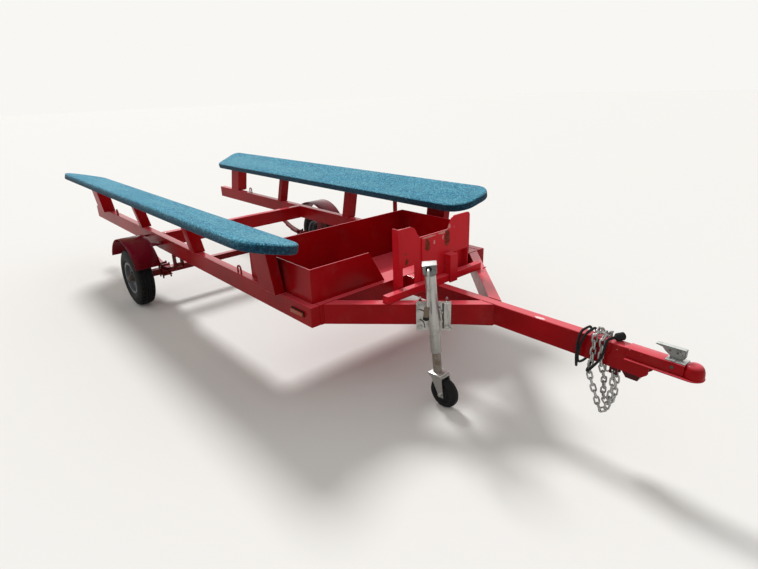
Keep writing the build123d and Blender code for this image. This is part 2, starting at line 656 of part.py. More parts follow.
# Coupler: a pressed channel with a ball socket and a flange
with BuildPart() as coupler_body:
    block((COUPLER_REAR, BALL_X - 15), (-29, 29), (COUPLER_SKIRT, COUPLER_TOP))
    block((COUPLER_REAR, BALL_X - 5), (-43, 43), (COUPLER_SKIRT, COUPLER_SKIRT + 4))
    with BuildSketch(Plane.XY.offset(COUPLER_SKIRT)):
        with Locations((BALL_X - 5, 0)):
            Circle(43)
    extrude(amount=4)
    with BuildSketch(Plane.XY.offset(COUPLER_SKIRT)):
        with Locations((BALL_X, 0)):
            Circle(36)
    extrude(amount=38)
    with Locations((BALL_X, 0, COUPLER_SKIRT + 38)):
        Sphere(36)
    block((COUPLER_REAR - 1, BALL_X - 44), (-25.6, 25.6), (COUPLER_SKIRT - 1, RAIL_TOP), Mode.SUBTRACT)
    with BuildSketch(Plane.XY.offset(COUPLER_SKIRT - 1)):
        with Locations((BALL_X, 0)):
            Circle(SOCKET_RADIUS)
    extrude(amount=BALL_Z - COUPLER_SKIRT + 1, mode=Mode.SUBTRACT)
    with Locations((BALL_X, 0, BALL_Z)):
        Sphere(SOCKET_RADIUS, mode=Mode.SUBTRACT)
save("coupler_body", coupler_body)

with BuildPart() as coupler_latch:
    lever_x = RAIL_FRONT
    prism(
        Plane.XZ.offset(-10),
        (
            (lever_x + 1262, 539), (lever_x + 1262, 545), (lever_x + 1350, 559), (lever_x + 1366, 556),
            (lever_x + 1364, COUPLER_TOP), (lever_x + 1340, COUPLER_TOP), (lever_x + 1342, 550),
        ),
        20,
    )
save("coupler_latch", coupler_latch)

# Amber markers on the rails' outer faces
with BuildPart() as side_markers:
    for side in (-1, 1):
        near, far = sorted((side * FRAME_HALF, side * (FRAME_HALF + 14)))
        block((RAIL_FRONT - 162, RAIL_FRONT - 53), (near, far), (434, 462))
save("side_markers", side_markers)

# Tie-down loops of bent rod that stand on the rails
loops = [(station, side) for station in (-702.0, -2870.0) for side in (-1, 1)]
with BuildPart() as tie_down_loops:
    for station, side in loops:
        middle = (RAIL_FRONT + station, side * (FRAME_HALF - 12) + 4, RAIL_TOP)
        with BuildSketch(Plane(origin=middle, x_dir=(1, 0, 0), z_dir=(0, -1, 0))):
            with Locations((0, 13)):
                Rectangle(44, 26)
            with Locations((0, 26)):
                Circle(22)
            with Locations((0, 13)):
                Rectangle(28, 26, mode=Mode.SUBTRACT)
            with Locations((0, 26)):
                Circle(14, mode=Mode.SUBTRACT)
        extrude(amount=8)
save("tie_down_loops", tie_down_loops)

# Jack mount: a plate on the right diagonal's outer face, held by two U-bolts
face_origin = (
    RAIL_FRONT + along[0] * JACK_STATION,
    -KINK_HALF + along[1] * JACK_STATION,
    JACK_PIVOT_Z,
)
face = Plane(origin=face_origin, x_dir=(along[0], along[1], 0), z_dir=(outward[0], outward[1], 0))
PLATE = 8.0
with BuildPart() as jack_mount:
    with BuildSketch(face):
        Rectangle(160, 145)
    extrude(amount=PLATE)
    for reach in (-62, 62):
        for height in (RAIL_TOP - JACK_PIVOT_Z + 7, RAIL_BOTTOM - JACK_PIVOT_Z - 7):
            with BuildSketch(face.offset(-RAIL_WIDTH - 12)):
                with Locations((reach, height)):
                    Circle(6)
            extrude(amount=RAIL_WIDTH + 12 + PLATE + 9)
        with BuildSketch(face.offset(-RAIL_WIDTH - 12)):
            with Locations((reach, RAIL_TOP - JACK_PIVOT_Z - 51)):
                Rectangle(12, RAIL_HEIGHT + 14)
        extrude(amount=12)
save("jack_mount", jack_mount)

# Jack leg: its own frame has z up the tube and -y outward from the diagonal
jack_origin = (
    face_origin[0] + outward[0] * JACK_OFFSET,
    face_origin[1] + outward[1] * JACK_OFFSET,
    JACK_PIVOT_Z,
)
tilt = radians(JACK_LEAN)
jack_x = (along[0] * cos(tilt), along[1] * cos(tilt), sin(tilt))
jack_z = (-along[0] * sin(tilt), -along[1] * sin(tilt), cos(tilt))
jack_out = (outward[0], outward[1], 0)
jack_down = (-jack_z[0], -jack_z[1], -jack_z[2])
jack = Plane(origin=jack_origin, x_dir=jack_x, z_dir=jack_z)
OUTER_TOP = 222.0
OUTER_BOTTOM = -160.0


def jack_at(x=0.0, y=0.0, z=0.0):
    """Point given in the jack's own frame, as world coordinates."""
    return jack.from_local_coords((x, y, z))


with BuildPart() as jack_leg:
    with BuildSketch(jack.offset(OUTER_BOTTOM)):
        Circle(JACK_TUBE_RADIUS)
        Circle(JACK_BORE_RADIUS, mode=Mode.SUBTRACT)
    extrude(amount=OUTER_TOP - OUTER_BOTTOM)
    swivel_plane = Plane(origin=jack_at(y=JACK_OFFSET - PLATE - 0.3), x_dir=jack_x, z_dir=jack_out)
    with BuildSketch(swivel_plane):
        Circle(48)
    extrude(amount=7)
    with BuildSketch(swivel_plane.offset(7)):
        Rectangle(30, 70)
    extrude(amount=JACK_OFFSET - PLATE - 7 - JACK_BORE_RADIUS - 1)
save("jack_leg", jack_leg)

with BuildPart() as jack_head:
    with BuildSketch(jack.offset(OUTER_TOP)):
        with Locations((0, -4)):
            Rectangle(62, 62)
    extrude(amount=58)
    with BuildSketch(Plane(origin=jack_at(y=-35, z=OUTER_TOP + 30), x_dir=jack_x, z_dir=jack_out)):
        Circle(9)
    extrude(amount=30)
    with BuildSketch(Plane(origin=jack_at(y=-58, z=OUTER_TOP + 36), x_dir=jack_x, z_dir=jack_down)):
        Circle(6)
    extrude(amount=165)
    with BuildSketch(Plane(origin=jack_at(x=-4, y=-58, z=OUTER_TOP - 128), x_dir=jack_x, z_dir=jack_down)):
        Circle(13)
    extrude(amount=58)
save("jack_head", jack_head)

# Ram inside the tube, then the caster fork and its wheel
axle_tilt = sin(tilt) * along[1]
caster_centre_z = CASTER_RADIUS * sqrt(1 - axle_tilt**2) + CASTER_WIDTH / 2 * abs(axle_tilt)
trail_x = CASTER_TRAIL * along[0]
trail_y = CASTER_TRAIL * along[1]
drop = (JACK_PIVOT_Z + sin(tilt) * trail_x - caster_centre_z) / cos(tilt)
FORK_TOP = -drop + CASTER_RADIUS + 16
with BuildPart() as jack_ram:
    with BuildSketch(jack.offset(FORK_TOP)):
        Circle(RAM_RADIUS)
    extrude(amount=360)
save("jack_ram", jack_ram)

trail_dir = jack_at(trail_x, -trail_y, 0) - jack_at(0, 0, 0)
trail_dir = trail_dir / trail_dir.length
caster = Plane(origin=jack_at(0, 0, -drop), x_dir=trail_dir, z_dir=jack_z)
wheel_centre = caster.from_local_coords((CASTER_TRAIL, 0, 0))
wheel_plane = Plane(origin=wheel_centre, x_dir=trail_dir, z_dir=caster.y_dir)
with BuildPart() as caster_fork:
    with BuildSketch(caster.offset(CASTER_RADIUS + 8)):
        with Locations((12, 0)):
            Rectangle(76, 64)
    extrude(amount=7.7)
    for edge in (-1, 1):
        leg_plane = Plane(
            origin=caster.from_local_coords((0, edge * 28, 0)),
            x_dir=trail_dir,
            z_dir=caster.y_dir,
        )
        with BuildSketch(leg_plane):
            Polygon((18, 16), (50, 16), (50, -4), (50 - 6, -16), (24, -16), (18, -4), align=None)
        extrude(amount=2.5, both=True)
        with BuildSketch(leg_plane):
            Polygon((-20, -(CASTER_RADIUS + 9)), (48, -(CASTER_RADIUS + 9)), (50, 0), (18, 0), align=None)
        extrude(amount=2.5, both=True)
    with BuildSketch(wheel_plane):
        Circle(6)
    extrude(amount=34, both=True)
save("caster_fork", caster_fork)

with BuildPart() as caster_wheel:
    with BuildSketch(wheel_plane):
        Circle(CASTER_RADIUS)
        Circle(6.05, mode=Mode.SUBTRACT)
    extrude(amount=CASTER_WIDTH / 2, both=True)
save("caster_wheel", caster_wheel)
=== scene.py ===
import json
import logging
import math
from dataclasses import dataclass
from enum import Enum
from typing import Callable, Iterable, Sequence

import bmesh
import bpy
from mathutils import Matrix, Vector


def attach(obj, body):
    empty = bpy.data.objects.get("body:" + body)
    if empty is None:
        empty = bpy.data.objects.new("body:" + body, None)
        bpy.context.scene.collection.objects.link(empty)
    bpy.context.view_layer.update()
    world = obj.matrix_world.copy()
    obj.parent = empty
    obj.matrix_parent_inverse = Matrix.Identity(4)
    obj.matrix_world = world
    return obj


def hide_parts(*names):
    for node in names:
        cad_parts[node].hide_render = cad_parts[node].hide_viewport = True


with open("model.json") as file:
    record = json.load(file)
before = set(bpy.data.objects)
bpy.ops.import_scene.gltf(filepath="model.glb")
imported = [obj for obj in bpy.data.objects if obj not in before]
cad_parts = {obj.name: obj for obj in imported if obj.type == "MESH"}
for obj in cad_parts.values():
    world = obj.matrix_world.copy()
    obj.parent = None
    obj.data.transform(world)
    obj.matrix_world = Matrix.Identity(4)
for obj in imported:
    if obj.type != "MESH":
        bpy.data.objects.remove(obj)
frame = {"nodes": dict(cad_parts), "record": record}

# Looks of the boat trailer: red paint, carpeted bunks, zinc jack and chains.
# Metres. +X runs forward to the coupler, +Y to the left side, +Z up.

log = logging.getLogger("trailer")
logging.basicConfig(level=logging.INFO, format="%(message)s")

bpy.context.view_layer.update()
RAIL_FRONT = 1.0536
RAIL_TOP = 0.496
RAIL_BOTTOM = 0.394
FRAME_HALF = 0.644
AXLE_X = RAIL_FRONT - 1.98
TRAY_REAR = RAIL_FRONT - 0.6
TRAY_FRONT = RAIL_FRONT - 0.041
TRAY_TOP = 0.664
Point = tuple[float, float, float]
Colour = tuple[float, float, float, float]


def rgb(red: float, green: float, blue: float) -> Colour:
    """Return a linear colour with full alpha."""
    return (red, green, blue, 1.0)


# Marks on the paint: middle x, y and z, then half the size along each
STOP_RUST = (
    (1.25, -0.068, 0.712, 0.02, 0.019, 0.036),
    (1.25, 0.081, 0.716, 0.02, 0.025, 0.044),
    (1.25, -0.205, 0.655, 0.02, 0.012, 0.02),
)
STOP_CHIPS = (
    (1.25, -0.020, 0.716, 0.02, 0.007, 0.012),
    (1.25, 0.044, 0.728, 0.02, 0.005, 0.012),
    (1.25, -0.060, 0.751, 0.02, 0.050, 0.005),
    (1.25, 0.048, 0.752, 0.02, 0.040, 0.006),
    (1.25, 0.098, 0.772, 0.02, 0.010, 0.016),
)
TONGUE_CHIPS = (
    (1.852, -0.014, 0.496, 0.026, 0.009, 0.01),
)
# Nodes with a finish of their own, in place of their slot's
SPECIAL = {
    "bow_stop_plate": "reflected_light_paint", "bow_stop_posts": "reflected_light_paint", "cross_tube": "reflected_light_paint",
    "tongue_tube": "tongue_paint", "tongue_plates": "lug_paint", "fender_right": "shaded_fender_paint",
    "fender_left": "shaded_fender_paint", "axle": "under_paint", "leaf_springs": "under_paint",
    "spring_hangers": "under_paint", "axle_clamps": "under_paint", "jack_ram": "ram",
}
TUBES = (
    "rail_right", "rail_left", "front_crossmember", "rear_crossmember", "diagonal_right", "diagonal_left",
    "tongue_tube", "cross_tube", "wide_bunk_posts", "narrow_bunk_posts", "axle",
)
TUBE_ROUND = 0.0042
SHEET_ROUND = 0.0009


class Side(Enum):
    """A side of the trailer, with its sign along y."""

    LEFT = 1
    RIGHT = -1

    @property
    def word(self) -> str:
        """Return the side's name as pieces and bodies use it."""
        return self.name.lower()


def _operator(operation: str, swapped: bool = False) -> Callable[["Num", "Num | float"], "Num"]:
    """Make a method of Num for one Math operation.

    Args:
        operation: Name of the Math node's operation.
        swapped: Whether the other value comes first.

    Returns:
        The method.
    """

    def method(self: "Num", other: "Num | float") -> "Num":
        """Return the operation's result on this number and another."""
        pair = (other, self) if swapped else (self, other)
        return self.kit.add("ShaderNodeMath", {"operation": operation}, dict(enumerate(pair))).number(0)

    return method


class Num:
    """A shader number that can be used in Python expressions."""

    __add__ = _operator("ADD")
    __radd__ = _operator("ADD", True)
    __sub__ = _operator("SUBTRACT")
    __rsub__ = _operator("SUBTRACT", True)
    __mul__ = _operator("MULTIPLY")
    __rmul__ = _operator("MULTIPLY", True)
    __truediv__ = _operator("DIVIDE")
    power = _operator("POWER")
    above = _operator("GREATER_THAN")
    below = _operator("LESS_THAN")
    most = _operator("MAXIMUM")

    def __init__(self, kit: "Graph", socket: bpy.types.NodeSocket) -> None:
        """Keep the socket and the graph that it belongs to."""
        self.kit = kit
        self.socket = socket

    def ramp(self, low: float, high: float) -> "Num":
        """Make a smooth step of this number.

        Args:
            low: Value up to which the step is 0.
            high: Value from which it is 1.

        Returns:
            The step, from 0 to 1.
        """
        settings = {"interpolation_type": "SMOOTHSTEP"}
        inputs = {"Value": self, "From Min": low, "From Max": high}
        return self.kit.add("ShaderNodeMapRange", settings, inputs).number(0)


class Added:
    """A node that has just been added, with short ways to its outputs."""

    def __init__(self, kit: "Graph", node: bpy.types.Node) -> None:
        """Keep the node and its graph."""
        self.kit = kit
        self.node = node

    def number(self, output: int | str) -> Num:
        """Return an output as a number for expressions."""
        return Num(self.kit, self.node.outputs[output])

    def out(self, output: int | str = 0) -> bpy.types.NodeSocket:
        """Return an output socket."""
        return self.node.outputs[output]


class Graph:
    """Adds and links the nodes of one node tree."""

    def __init__(self, tree: bpy.types.NodeTree) -> None:
        """Keep the tree and empty it."""
        self.tree = tree
        tree.nodes.clear()

    def add(self, kind: str, settings: dict | None = None, inputs: dict | None = None) -> Added:
        """Add a node of any type.

        Args:
            kind: The node's type.
            settings: Attributes, and "stops" for a colour ramp.
            inputs: Values or links, by socket name or number.

        Returns:
            The added node.
        """
        node = self.tree.nodes.new(kind)
        for key, value in (settings or {}).items():
            if key == "stops":
                ramp = node.color_ramp
                while len(ramp.elements) < len(value):
                    ramp.elements.new(0.5)
                for element, (place, colour) in zip(ramp.elements, value):
                    element.position = place
                    element.color = colour
            else:
                setattr(node, key, value)
        for key, value in (inputs or {}).items():
            self.feed(node.inputs[key], value)
        return Added(self, node)

    def feed(self, socket: bpy.types.NodeSocket, value: object) -> None:
        """Link or set one input.

        Args:
            socket: The input.
            value: A Num, a socket, or a plain value.
        """
        if isinstance(value, Num):
            value = value.socket
        if isinstance(value, bpy.types.NodeSocket):
            self.tree.links.new(value, socket)
        else:
            socket.default_value = value


class Nodes(Graph):
    """Builds the nodes of one material."""

    def __init__(self, name: str) -> None:
        """Start an empty material with a Principled shader.

        Args:
            name: Name of the material.
        """
        self.material = bpy.data.materials.new(name)
        self.material.use_nodes = True
        super().__init__(self.material.node_tree)
        self.shader = self.add("ShaderNodeBsdfPrincipled")
        self.add("ShaderNodeOutputMaterial", None, {"Surface": self.shader.out()})

    def surface(self, **inputs: object) -> None:
        """Feed the Principled shader's inputs, with underscores for spaces."""
        for key, value in inputs.items():
            self.feed(self.shader.node.inputs[key.replace("_", " ")], value)

    def place(self) -> bpy.types.NodeSocket:
        """Return the object's own coordinates."""
        return self.add("ShaderNodeTexCoord").out("Object")

    def axes(self) -> tuple[Num, Num, Num]:
        """Return the object's x, y and z as numbers."""
        split = self.add("ShaderNodeSeparateXYZ", None, {0: self.place()})
        return split.number(0), split.number(1), split.number(2)

    def upward(self) -> Num:
        """Return how far the surface looks up, from -1 to 1."""
        normal = self.add("ShaderNodeNewGeometry").out("Normal")
        return self.add("ShaderNodeSeparateXYZ", None, {0: normal}).number(2)

    def noise(self, scale: float, detail: float = 3.0, rough: float = 0.5, stretch: Point | None = None) -> Num:
        """Add a noise texture.

        Args:
            scale: Features per metre.
            detail: Octaves.
            rough: Roughness of the octaves.
            stretch: Scale of the three axes, for streaks.

        Returns:
            The noise, from 0 to 1.
        """
        vector = self.place()
        if stretch:
            vector = self.add("ShaderNodeMapping", None, {"Vector": vector, "Scale": stretch}).out()
        inputs = {"Vector": vector, "Scale": scale, "Detail": detail, "Roughness": rough}
        return self.add("ShaderNodeTexNoise", None, inputs).number(0)

    def cells(self, scale: float) -> Num:
        """Add a Voronoi texture and return its distance."""
        return self.add("ShaderNodeTexVoronoi", None, {"Vector": self.place(), "Scale": scale}).number("Distance")

    def blend(self, factor: Num | float, first: object, second: object) -> bpy.types.NodeSocket:
        """Mix two colours.

        Args:
            factor: Share of the second colour.
            first: Colour or socket.
            second: Colour or socket.

        Returns:
            The mixed colour's socket.
        """
        node = self.add("ShaderNodeMix", {"data_type": "RGBA"})
        self.feed(node.node.inputs[0], factor)
        self.feed(node.node.inputs[6], first)
        self.feed(node.node.inputs[7], second)
        return node.out(2)

    def spot(self, mark: Sequence[float], ragged: Num) -> Num:
        """Mask a ragged oval patch.

        Args:
            mark: Middle x, y and z, then half its size along each.
            ragged: Noise that frays the rim.

        Returns:
            1 inside the patch, else 0.
        """
        away: Num | float = (ragged - 0.5) * 4.0
        for place, middle, half in zip(self.axes(), mark[:3], mark[3:]):
            away = ((place - middle) / half).power(2.0) + away
        return 1.0 - away.ramp(0.75, 1.0)

    def bump(self, height: Num, strength: float, distance: float) -> bpy.types.NodeSocket:
        """Add a Bump node and return its normal."""
        return self.add("ShaderNodeBump", None, {"Height": height, "Strength": strength, "Distance": distance}).out()


@dataclass(frozen=True)
class Paint:
    """Red enamel with painted light on its upper side, chips, scratches, dust and rust.

    Attributes:
        name: Name of the material.
        colour: Clean paint.
        top_light: Paint on faces that look up, as painted light.
        rust: How far the rust patches spread, from 0 to 1.
        rust_marks: Ovals where the paint has rusted through.
        chip_marks: Ovals where the paint is rubbed off.
        chip: Colour in those ovals.
        dark_from: x from which the paint is near black.
    """

    name: str = "red_enamel"
    colour: Colour = rgb(0.29, 0.0016, 0.0042)
    top_light: Colour = rgb(0.78, 0.085, 0.115)
    rust: float = 0.3
    rust_marks: Sequence[Sequence[float]] = ()
    chip_marks: Sequence[Sequence[float]] = ()
    chip: Colour = rgb(0.55, 0.26, 0.24)
    dark_from: float | None = None

    def make(self) -> bpy.types.Material:
        """Build the material."""
        kit = Nodes(self.name)
        cloud = kit.noise(2.1, 4.0, 0.6).ramp(0.35, 0.7)
        tone = kit.blend(cloud, self.colour, tuple(0.7 * c for c in self.colour[:3]) + (1.0,))
        # Painted light: faces that look up take the lighter top colour.
        tone = kit.blend(kit.upward().ramp(0.45, 0.9) * 0.85, tone, self.top_light)
        dust = kit.noise(9.0, 6.0, 0.65).ramp(0.5, 0.8) * 0.1
        tone = kit.blend(dust, tone, rgb(0.30, 0.13, 0.11))
        streak = kit.noise(14.0, 3.0, 0.6, (1.0, 1.0, 0.12)).ramp(0.6, 0.8) * 0.25
        tone = kit.blend(streak, tone, rgb(0.06, 0.004, 0.008))
        chips = kit.noise(55.0, 3.0, 0.7).above(0.745) * kit.noise(4.0, 2.0, 0.5).above(0.52)
        tone = kit.blend(chips, tone, rgb(0.5, 0.36, 0.33))
        patch = kit.noise(7.0, 5.0, 0.7)
        patch = patch.ramp(0.76 - 0.2 * self.rust, 0.80 - 0.18 * self.rust)
        spots = kit.noise(38.0, 4.0, 0.75).ramp(0.70, 0.74) * kit.noise(3.1, 2.0, 0.5).ramp(0.5, 0.6)
        rusty = patch.most(spots * self.rust)
        frayed = kit.noise(90.0, 4.0, 0.75)
        for mark in self.chip_marks:
            bare = kit.spot(mark, frayed)
            tone = kit.blend(bare * 0.8, tone, self.chip)
            chips = chips.most(bare)
        for mark in self.rust_marks:
            rusty = rusty.most(kit.spot(mark, frayed))
        rust = kit.blend(kit.noise(60.0).ramp(0.4, 0.6), rgb(0.055, 0.02, 0.012), rgb(0.13, 0.045, 0.02))
        tone = kit.blend(rusty * 0.85, tone, rust)
        worn = chips.most(rusty)
        # Near black from this x forward.
        if self.dark_from is not None:
            darkened = kit.axes()[0].ramp(self.dark_from, self.dark_from + 0.01) * 0.9
            tone = kit.blend(darkened, tone, rgb(0.03, 0.008, 0.008))
        gloss = kit.upward().ramp(0.6, 0.95) * 0.55 + 0.04
        orange_peel = kit.noise(260.0, 2.0, 0.5)
        kit.surface(
            Base_Color=tone, Roughness=0.28 + dust * 1.4 + worn * 0.5, IOR=1.42, Specular_IOR_Level=0.09,
            Coat_Weight=gloss * (1.0 - worn), Coat_Roughness=0.12,
            Normal=kit.bump(orange_peel * 0.25 - worn * 0.9, 0.15, 0.001),
        )
        return kit.material


@dataclass(frozen=True)
class Carpet:
    """Short marine carpet, teal blue with light and dark flecks, with painted shade down its sides."""

    name: str = "teal_carpet"
    deep: Colour = rgb(0.010, 0.10, 0.19)
    mid: Colour = rgb(0.030, 0.25, 0.40)
    light: Colour = rgb(0.115, 0.49, 0.66)
    # Painted shade for faces that look sideways or down.
    side: Colour = rgb(0.004, 0.026, 0.052)

    def make(self) -> bpy.types.Material:
        """Build the material."""
        kit = Nodes(self.name)
        tuft = kit.noise(210.0, 2.0, 0.7)
        fleck = kit.noise(80.0, 3.0, 0.75)
        tone = kit.blend(fleck.ramp(0.40, 0.50), self.deep, self.mid)
        tone = kit.blend(fleck.ramp(0.50, 0.60), tone, self.light)
        tone = kit.blend(tuft.ramp(0.57, 0.63) * 0.8, tone, rgb(0.36, 0.78, 0.86))
        tone = kit.blend(tuft.below(0.43) * 0.8, tone, rgb(0.004, 0.045, 0.12))
        worn = kit.noise(2.3, 3.0, 0.5, (1.0, 3.0, 3.0)).ramp(0.4, 0.7) * 0.2
        tone = kit.blend(worn, tone, rgb(0.24, 0.52, 0.58))
        # Painted shade: faces that look sideways or down take the dark side colour.
        shade = kit.blend(fleck.ramp(0.48, 0.62) * 0.7, self.side, rgb(0.015, 0.11, 0.17))
        tone = kit.blend(kit.upward().ramp(0.15, 0.62), shade, tone)
        kit.surface(
            Base_Color=tone, Roughness=0.95, Specular_IOR_Level=0.15, Sheen_Weight=0.1, Sheen_Roughness=0.5,
            Normal=kit.bump(tuft + fleck * 0.8, 0.9, 0.004),
        )
        return kit.material


@dataclass(frozen=True)
class Timber:
    """Weathered plywood with its layers along the edge."""

    name: str = "weathered_plywood"
    colour: Colour = rgb(0.50, 0.36, 0.21)

    def make(self) -> bpy.types.Material:
        """Build the material."""
        kit = Nodes(self.name)
        grain = kit.noise(30.0, 5.0, 0.6, (0.15, 1.0, 6.0))
        tone = kit.blend(grain.ramp(0.35, 0.7), self.colour, rgb(0.20, 0.13, 0.075))
        kit.surface(Base_Color=tone, Roughness=0.85, Normal=kit.bump(grain, 0.4, 0.001))
        return kit.material


@dataclass(frozen=True)
class Metal:
    """Bare or plated metal with stains.

    Attributes:
        name: Name of the material.
        bright: Clean colour.
        stain: Colour of its stains.
        stained: Share of the surface that is stained.
        rough: Roughness of the clean metal.
        metal: How metallic it is.
        top: Colour of its faces that look up, as painted light on its tops.
    """

    name: str
    bright: Colour
    stain: Colour
    stained: float = 0.4
    rough: float = 0.35
    metal: float = 0.9
    top: Colour | None = None

    def make(self) -> bpy.types.Material:
        """Build the material."""
        kit = Nodes(self.name)
        cloud = kit.noise(24.0, 5.0, 0.7).ramp(0.62 - 0.3 * self.stained, 0.8 - 0.25 * self.stained)
        grain = kit.noise(300.0, 2.0, 0.6, (1.0, 1.0, 0.15))
        tone = kit.blend(cloud * (0.3 + 0.7 * self.stained), self.bright, self.stain)
        # Painted light: faces that look up take the lighter top colour.
        if self.top:
            tone = kit.blend(kit.upward().ramp(0.55, 0.85) * 0.9, tone, self.top)
        kit.surface(
            Base_Color=tone,
            Roughness=self.rough + cloud * 0.3 + grain * 0.1,
            Metallic=self.metal - cloud * (0.7 * self.stained),
            Normal=kit.bump(grain + cloud * 0.5, 0.1, 0.001),
        )
        return kit.material


@dataclass(frozen=True)
class Rubber:
    """Dull black rubber with dust."""

    name: str
    colour: Colour = rgb(0.003, 0.003, 0.0035)
    dust: float = 0.05

    def make(self) -> bpy.types.Material:
        """Build the material."""
        kit = Nodes(self.name)
        cloud = kit.noise(18.0, 5.0, 0.7).ramp(0.45, 0.8) * self.dust
        tone = kit.blend(cloud, self.colour, rgb(0.12, 0.105, 0.085))
        grain = kit.noise(400.0, 2.0, 0.6)
        kit.surface(
            Base_Color=tone, Roughness=0.62 + cloud * 0.3, Specular_IOR_Level=0.14,
            Normal=kit.bump(grain, 0.15, 0.001),
        )
        return kit.material


@dataclass(frozen=True)
class Lens:
    """Amber reflector with a moulded grid behind its face."""

    name: str = "amber_lens"
    colour: Colour = rgb(0.50, 0.085, 0.02)

    def make(self) -> bpy.types.Material:
        """Build the material."""
        kit = Nodes(self.name)
        grid = kit.cells(320.0)
        tone = kit.blend(grid.ramp(0.1, 0.6), self.colour, rgb(0.24, 0.03, 0.01))
        kit.surface(
            Base_Color=tone, Roughness=0.3, Specular_IOR_Level=0.25, Coat_Weight=0.2,
            Normal=kit.bump(grid, 0.4, 0.001),
        )
        return kit.material


class Finishes:
    """All finishes of the trailer, made once."""

    def __init__(self) -> None:
        """Build each material."""
        self.paint = Paint().make()
        # A lighter copy of the red paint for the bow stop and the cross tube: painted reflected light; its rust and
        # chip marks are real.
        self.reflected_light_paint = Paint(
            "reflected_light_enamel", rgb(0.52, 0.010, 0.018), rust=0.35, rust_marks=STOP_RUST, chip_marks=STOP_CHIPS,
        ).make()
        self.tongue_paint = Paint("tongue_enamel", chip_marks=TONGUE_CHIPS, chip=rgb(0.95, 0.85, 0.84)).make()
        self.lug_paint = Paint("darkened_enamel", rust=0.5, dark_from=RAIL_FRONT + 1.1).make()
        # A darker copy of the red paint for the fenders: painted shade, with a darker top colour.
        self.shaded_fender_paint = Paint("shaded_fender_enamel", rgb(0.13, 0.0010, 0.006), rgb(0.20, 0.004, 0.022)).make()
        # Darker red for the axle, springs and U-bolts; its lighter top colour is painted light.
        self.under_paint = Paint(
            "undercarriage_enamel", rgb(0.13, 0.002, 0.003), rgb(0.55, 0.13, 0.14), rust=0.75,
        ).make()
        # Darker copies of the zinc for the jack head and the lever: painted shade on their sides, painted light on
        # their tops.
        self.head = Metal(
            "jack_head_plate", rgb(0.17, 0.185, 0.18), rgb(0.08, 0.07, 0.06), 0.4, 0.35, 0.6, rgb(0.72, 0.72, 0.70),
        ).make()
        self.lever = Metal(
            "lever_plate", rgb(0.20, 0.205, 0.20), rgb(0.07, 0.065, 0.055), 0.6, 0.38, 0.55, rgb(0.66, 0.68, 0.66),
        ).make()
        self.ram = Metal("rusty_ram", rgb(0.24, 0.21, 0.18), rgb(0.12, 0.07, 0.04), 0.6, 0.42, 0.6).make()
        # Painted light: the zinc's faces that look up are lighter.
        self.zinc = Metal(
            "zinc_plate", rgb(0.40, 0.39, 0.37), rgb(0.16, 0.14, 0.11), 0.35, 0.3, top=rgb(0.66, 0.66, 0.64),
        ).make()
        self.chain = Metal("chain_plate", rgb(0.36, 0.36, 0.35), rgb(0.15, 0.14, 0.12), 0.5, 0.32, 0.8).make()
        self.galvanised = Metal(
            "galvanised_rim", rgb(0.10, 0.105, 0.115), rgb(0.05, 0.045, 0.04), 0.4, 0.45, 0.3,
        ).make()
        self.dark_steel = Metal(
            "greasy_steel", rgb(0.06, 0.052, 0.045), rgb(0.12, 0.05, 0.025), 0.6, 0.55, 0.4,
        ).make()
        self.timber = Timber().make()
        self.carpet = Carpet().make()
        self.tyre = Rubber("tyre_rubber").make()
        self.black = Rubber("black_rubber", rgb(0.008, 0.008, 0.0085), 0.06).make()
        self.grip = Rubber("worn_grip", rgb(0.16, 0.12, 0.09), 0.3).make()
        self.lens = Lens().make()

    def by_slot(self) -> dict[str, bpy.types.Material]:
        """Return the material for each slot of the record."""
        return {
            "red_paint": self.paint,
            "carpet": self.carpet,
            "zinc": self.zinc,
            "galvanised": self.galvanised,
            "dark_steel": self.dark_steel,
            "tyre_rubber": self.tyre,
            "black_rubber": self.black,
            "amber_lens": self.lens,
        }


@dataclass(frozen=True)
class Viewpoint:
    """The camera, where the photograph was taken."""

    place: Point = (2.9228, -1.8526, 1.4404)
    right: Point = (0.666848, 0.744471, -0.032817)
    down: Point = (0.244372, -0.260071, -0.934155)
    ahead: Point = (-0.703986, 0.614920, -0.355355)
    lens: float = 24.70

    def make(self) -> None:
        """Add the camera and make it the scene's own."""
        data = bpy.data.cameras.new("viewpoint")
        data.sensor_width = 36.0
        data.sensor_fit = "HORIZONTAL"
        data.lens = self.lens
        data.clip_end = 200.0
        camera = bpy.data.objects.new("viewpoint", data)
        bpy.context.collection.objects.link(camera)
        turn = Matrix((self.right, tuple(-c for c in self.down), tuple(-c for c in self.ahead))).transposed()
        camera.matrix_world = Matrix.Translation(self.place) @ turn.to_4x4()
        bpy.context.scene.camera = camera


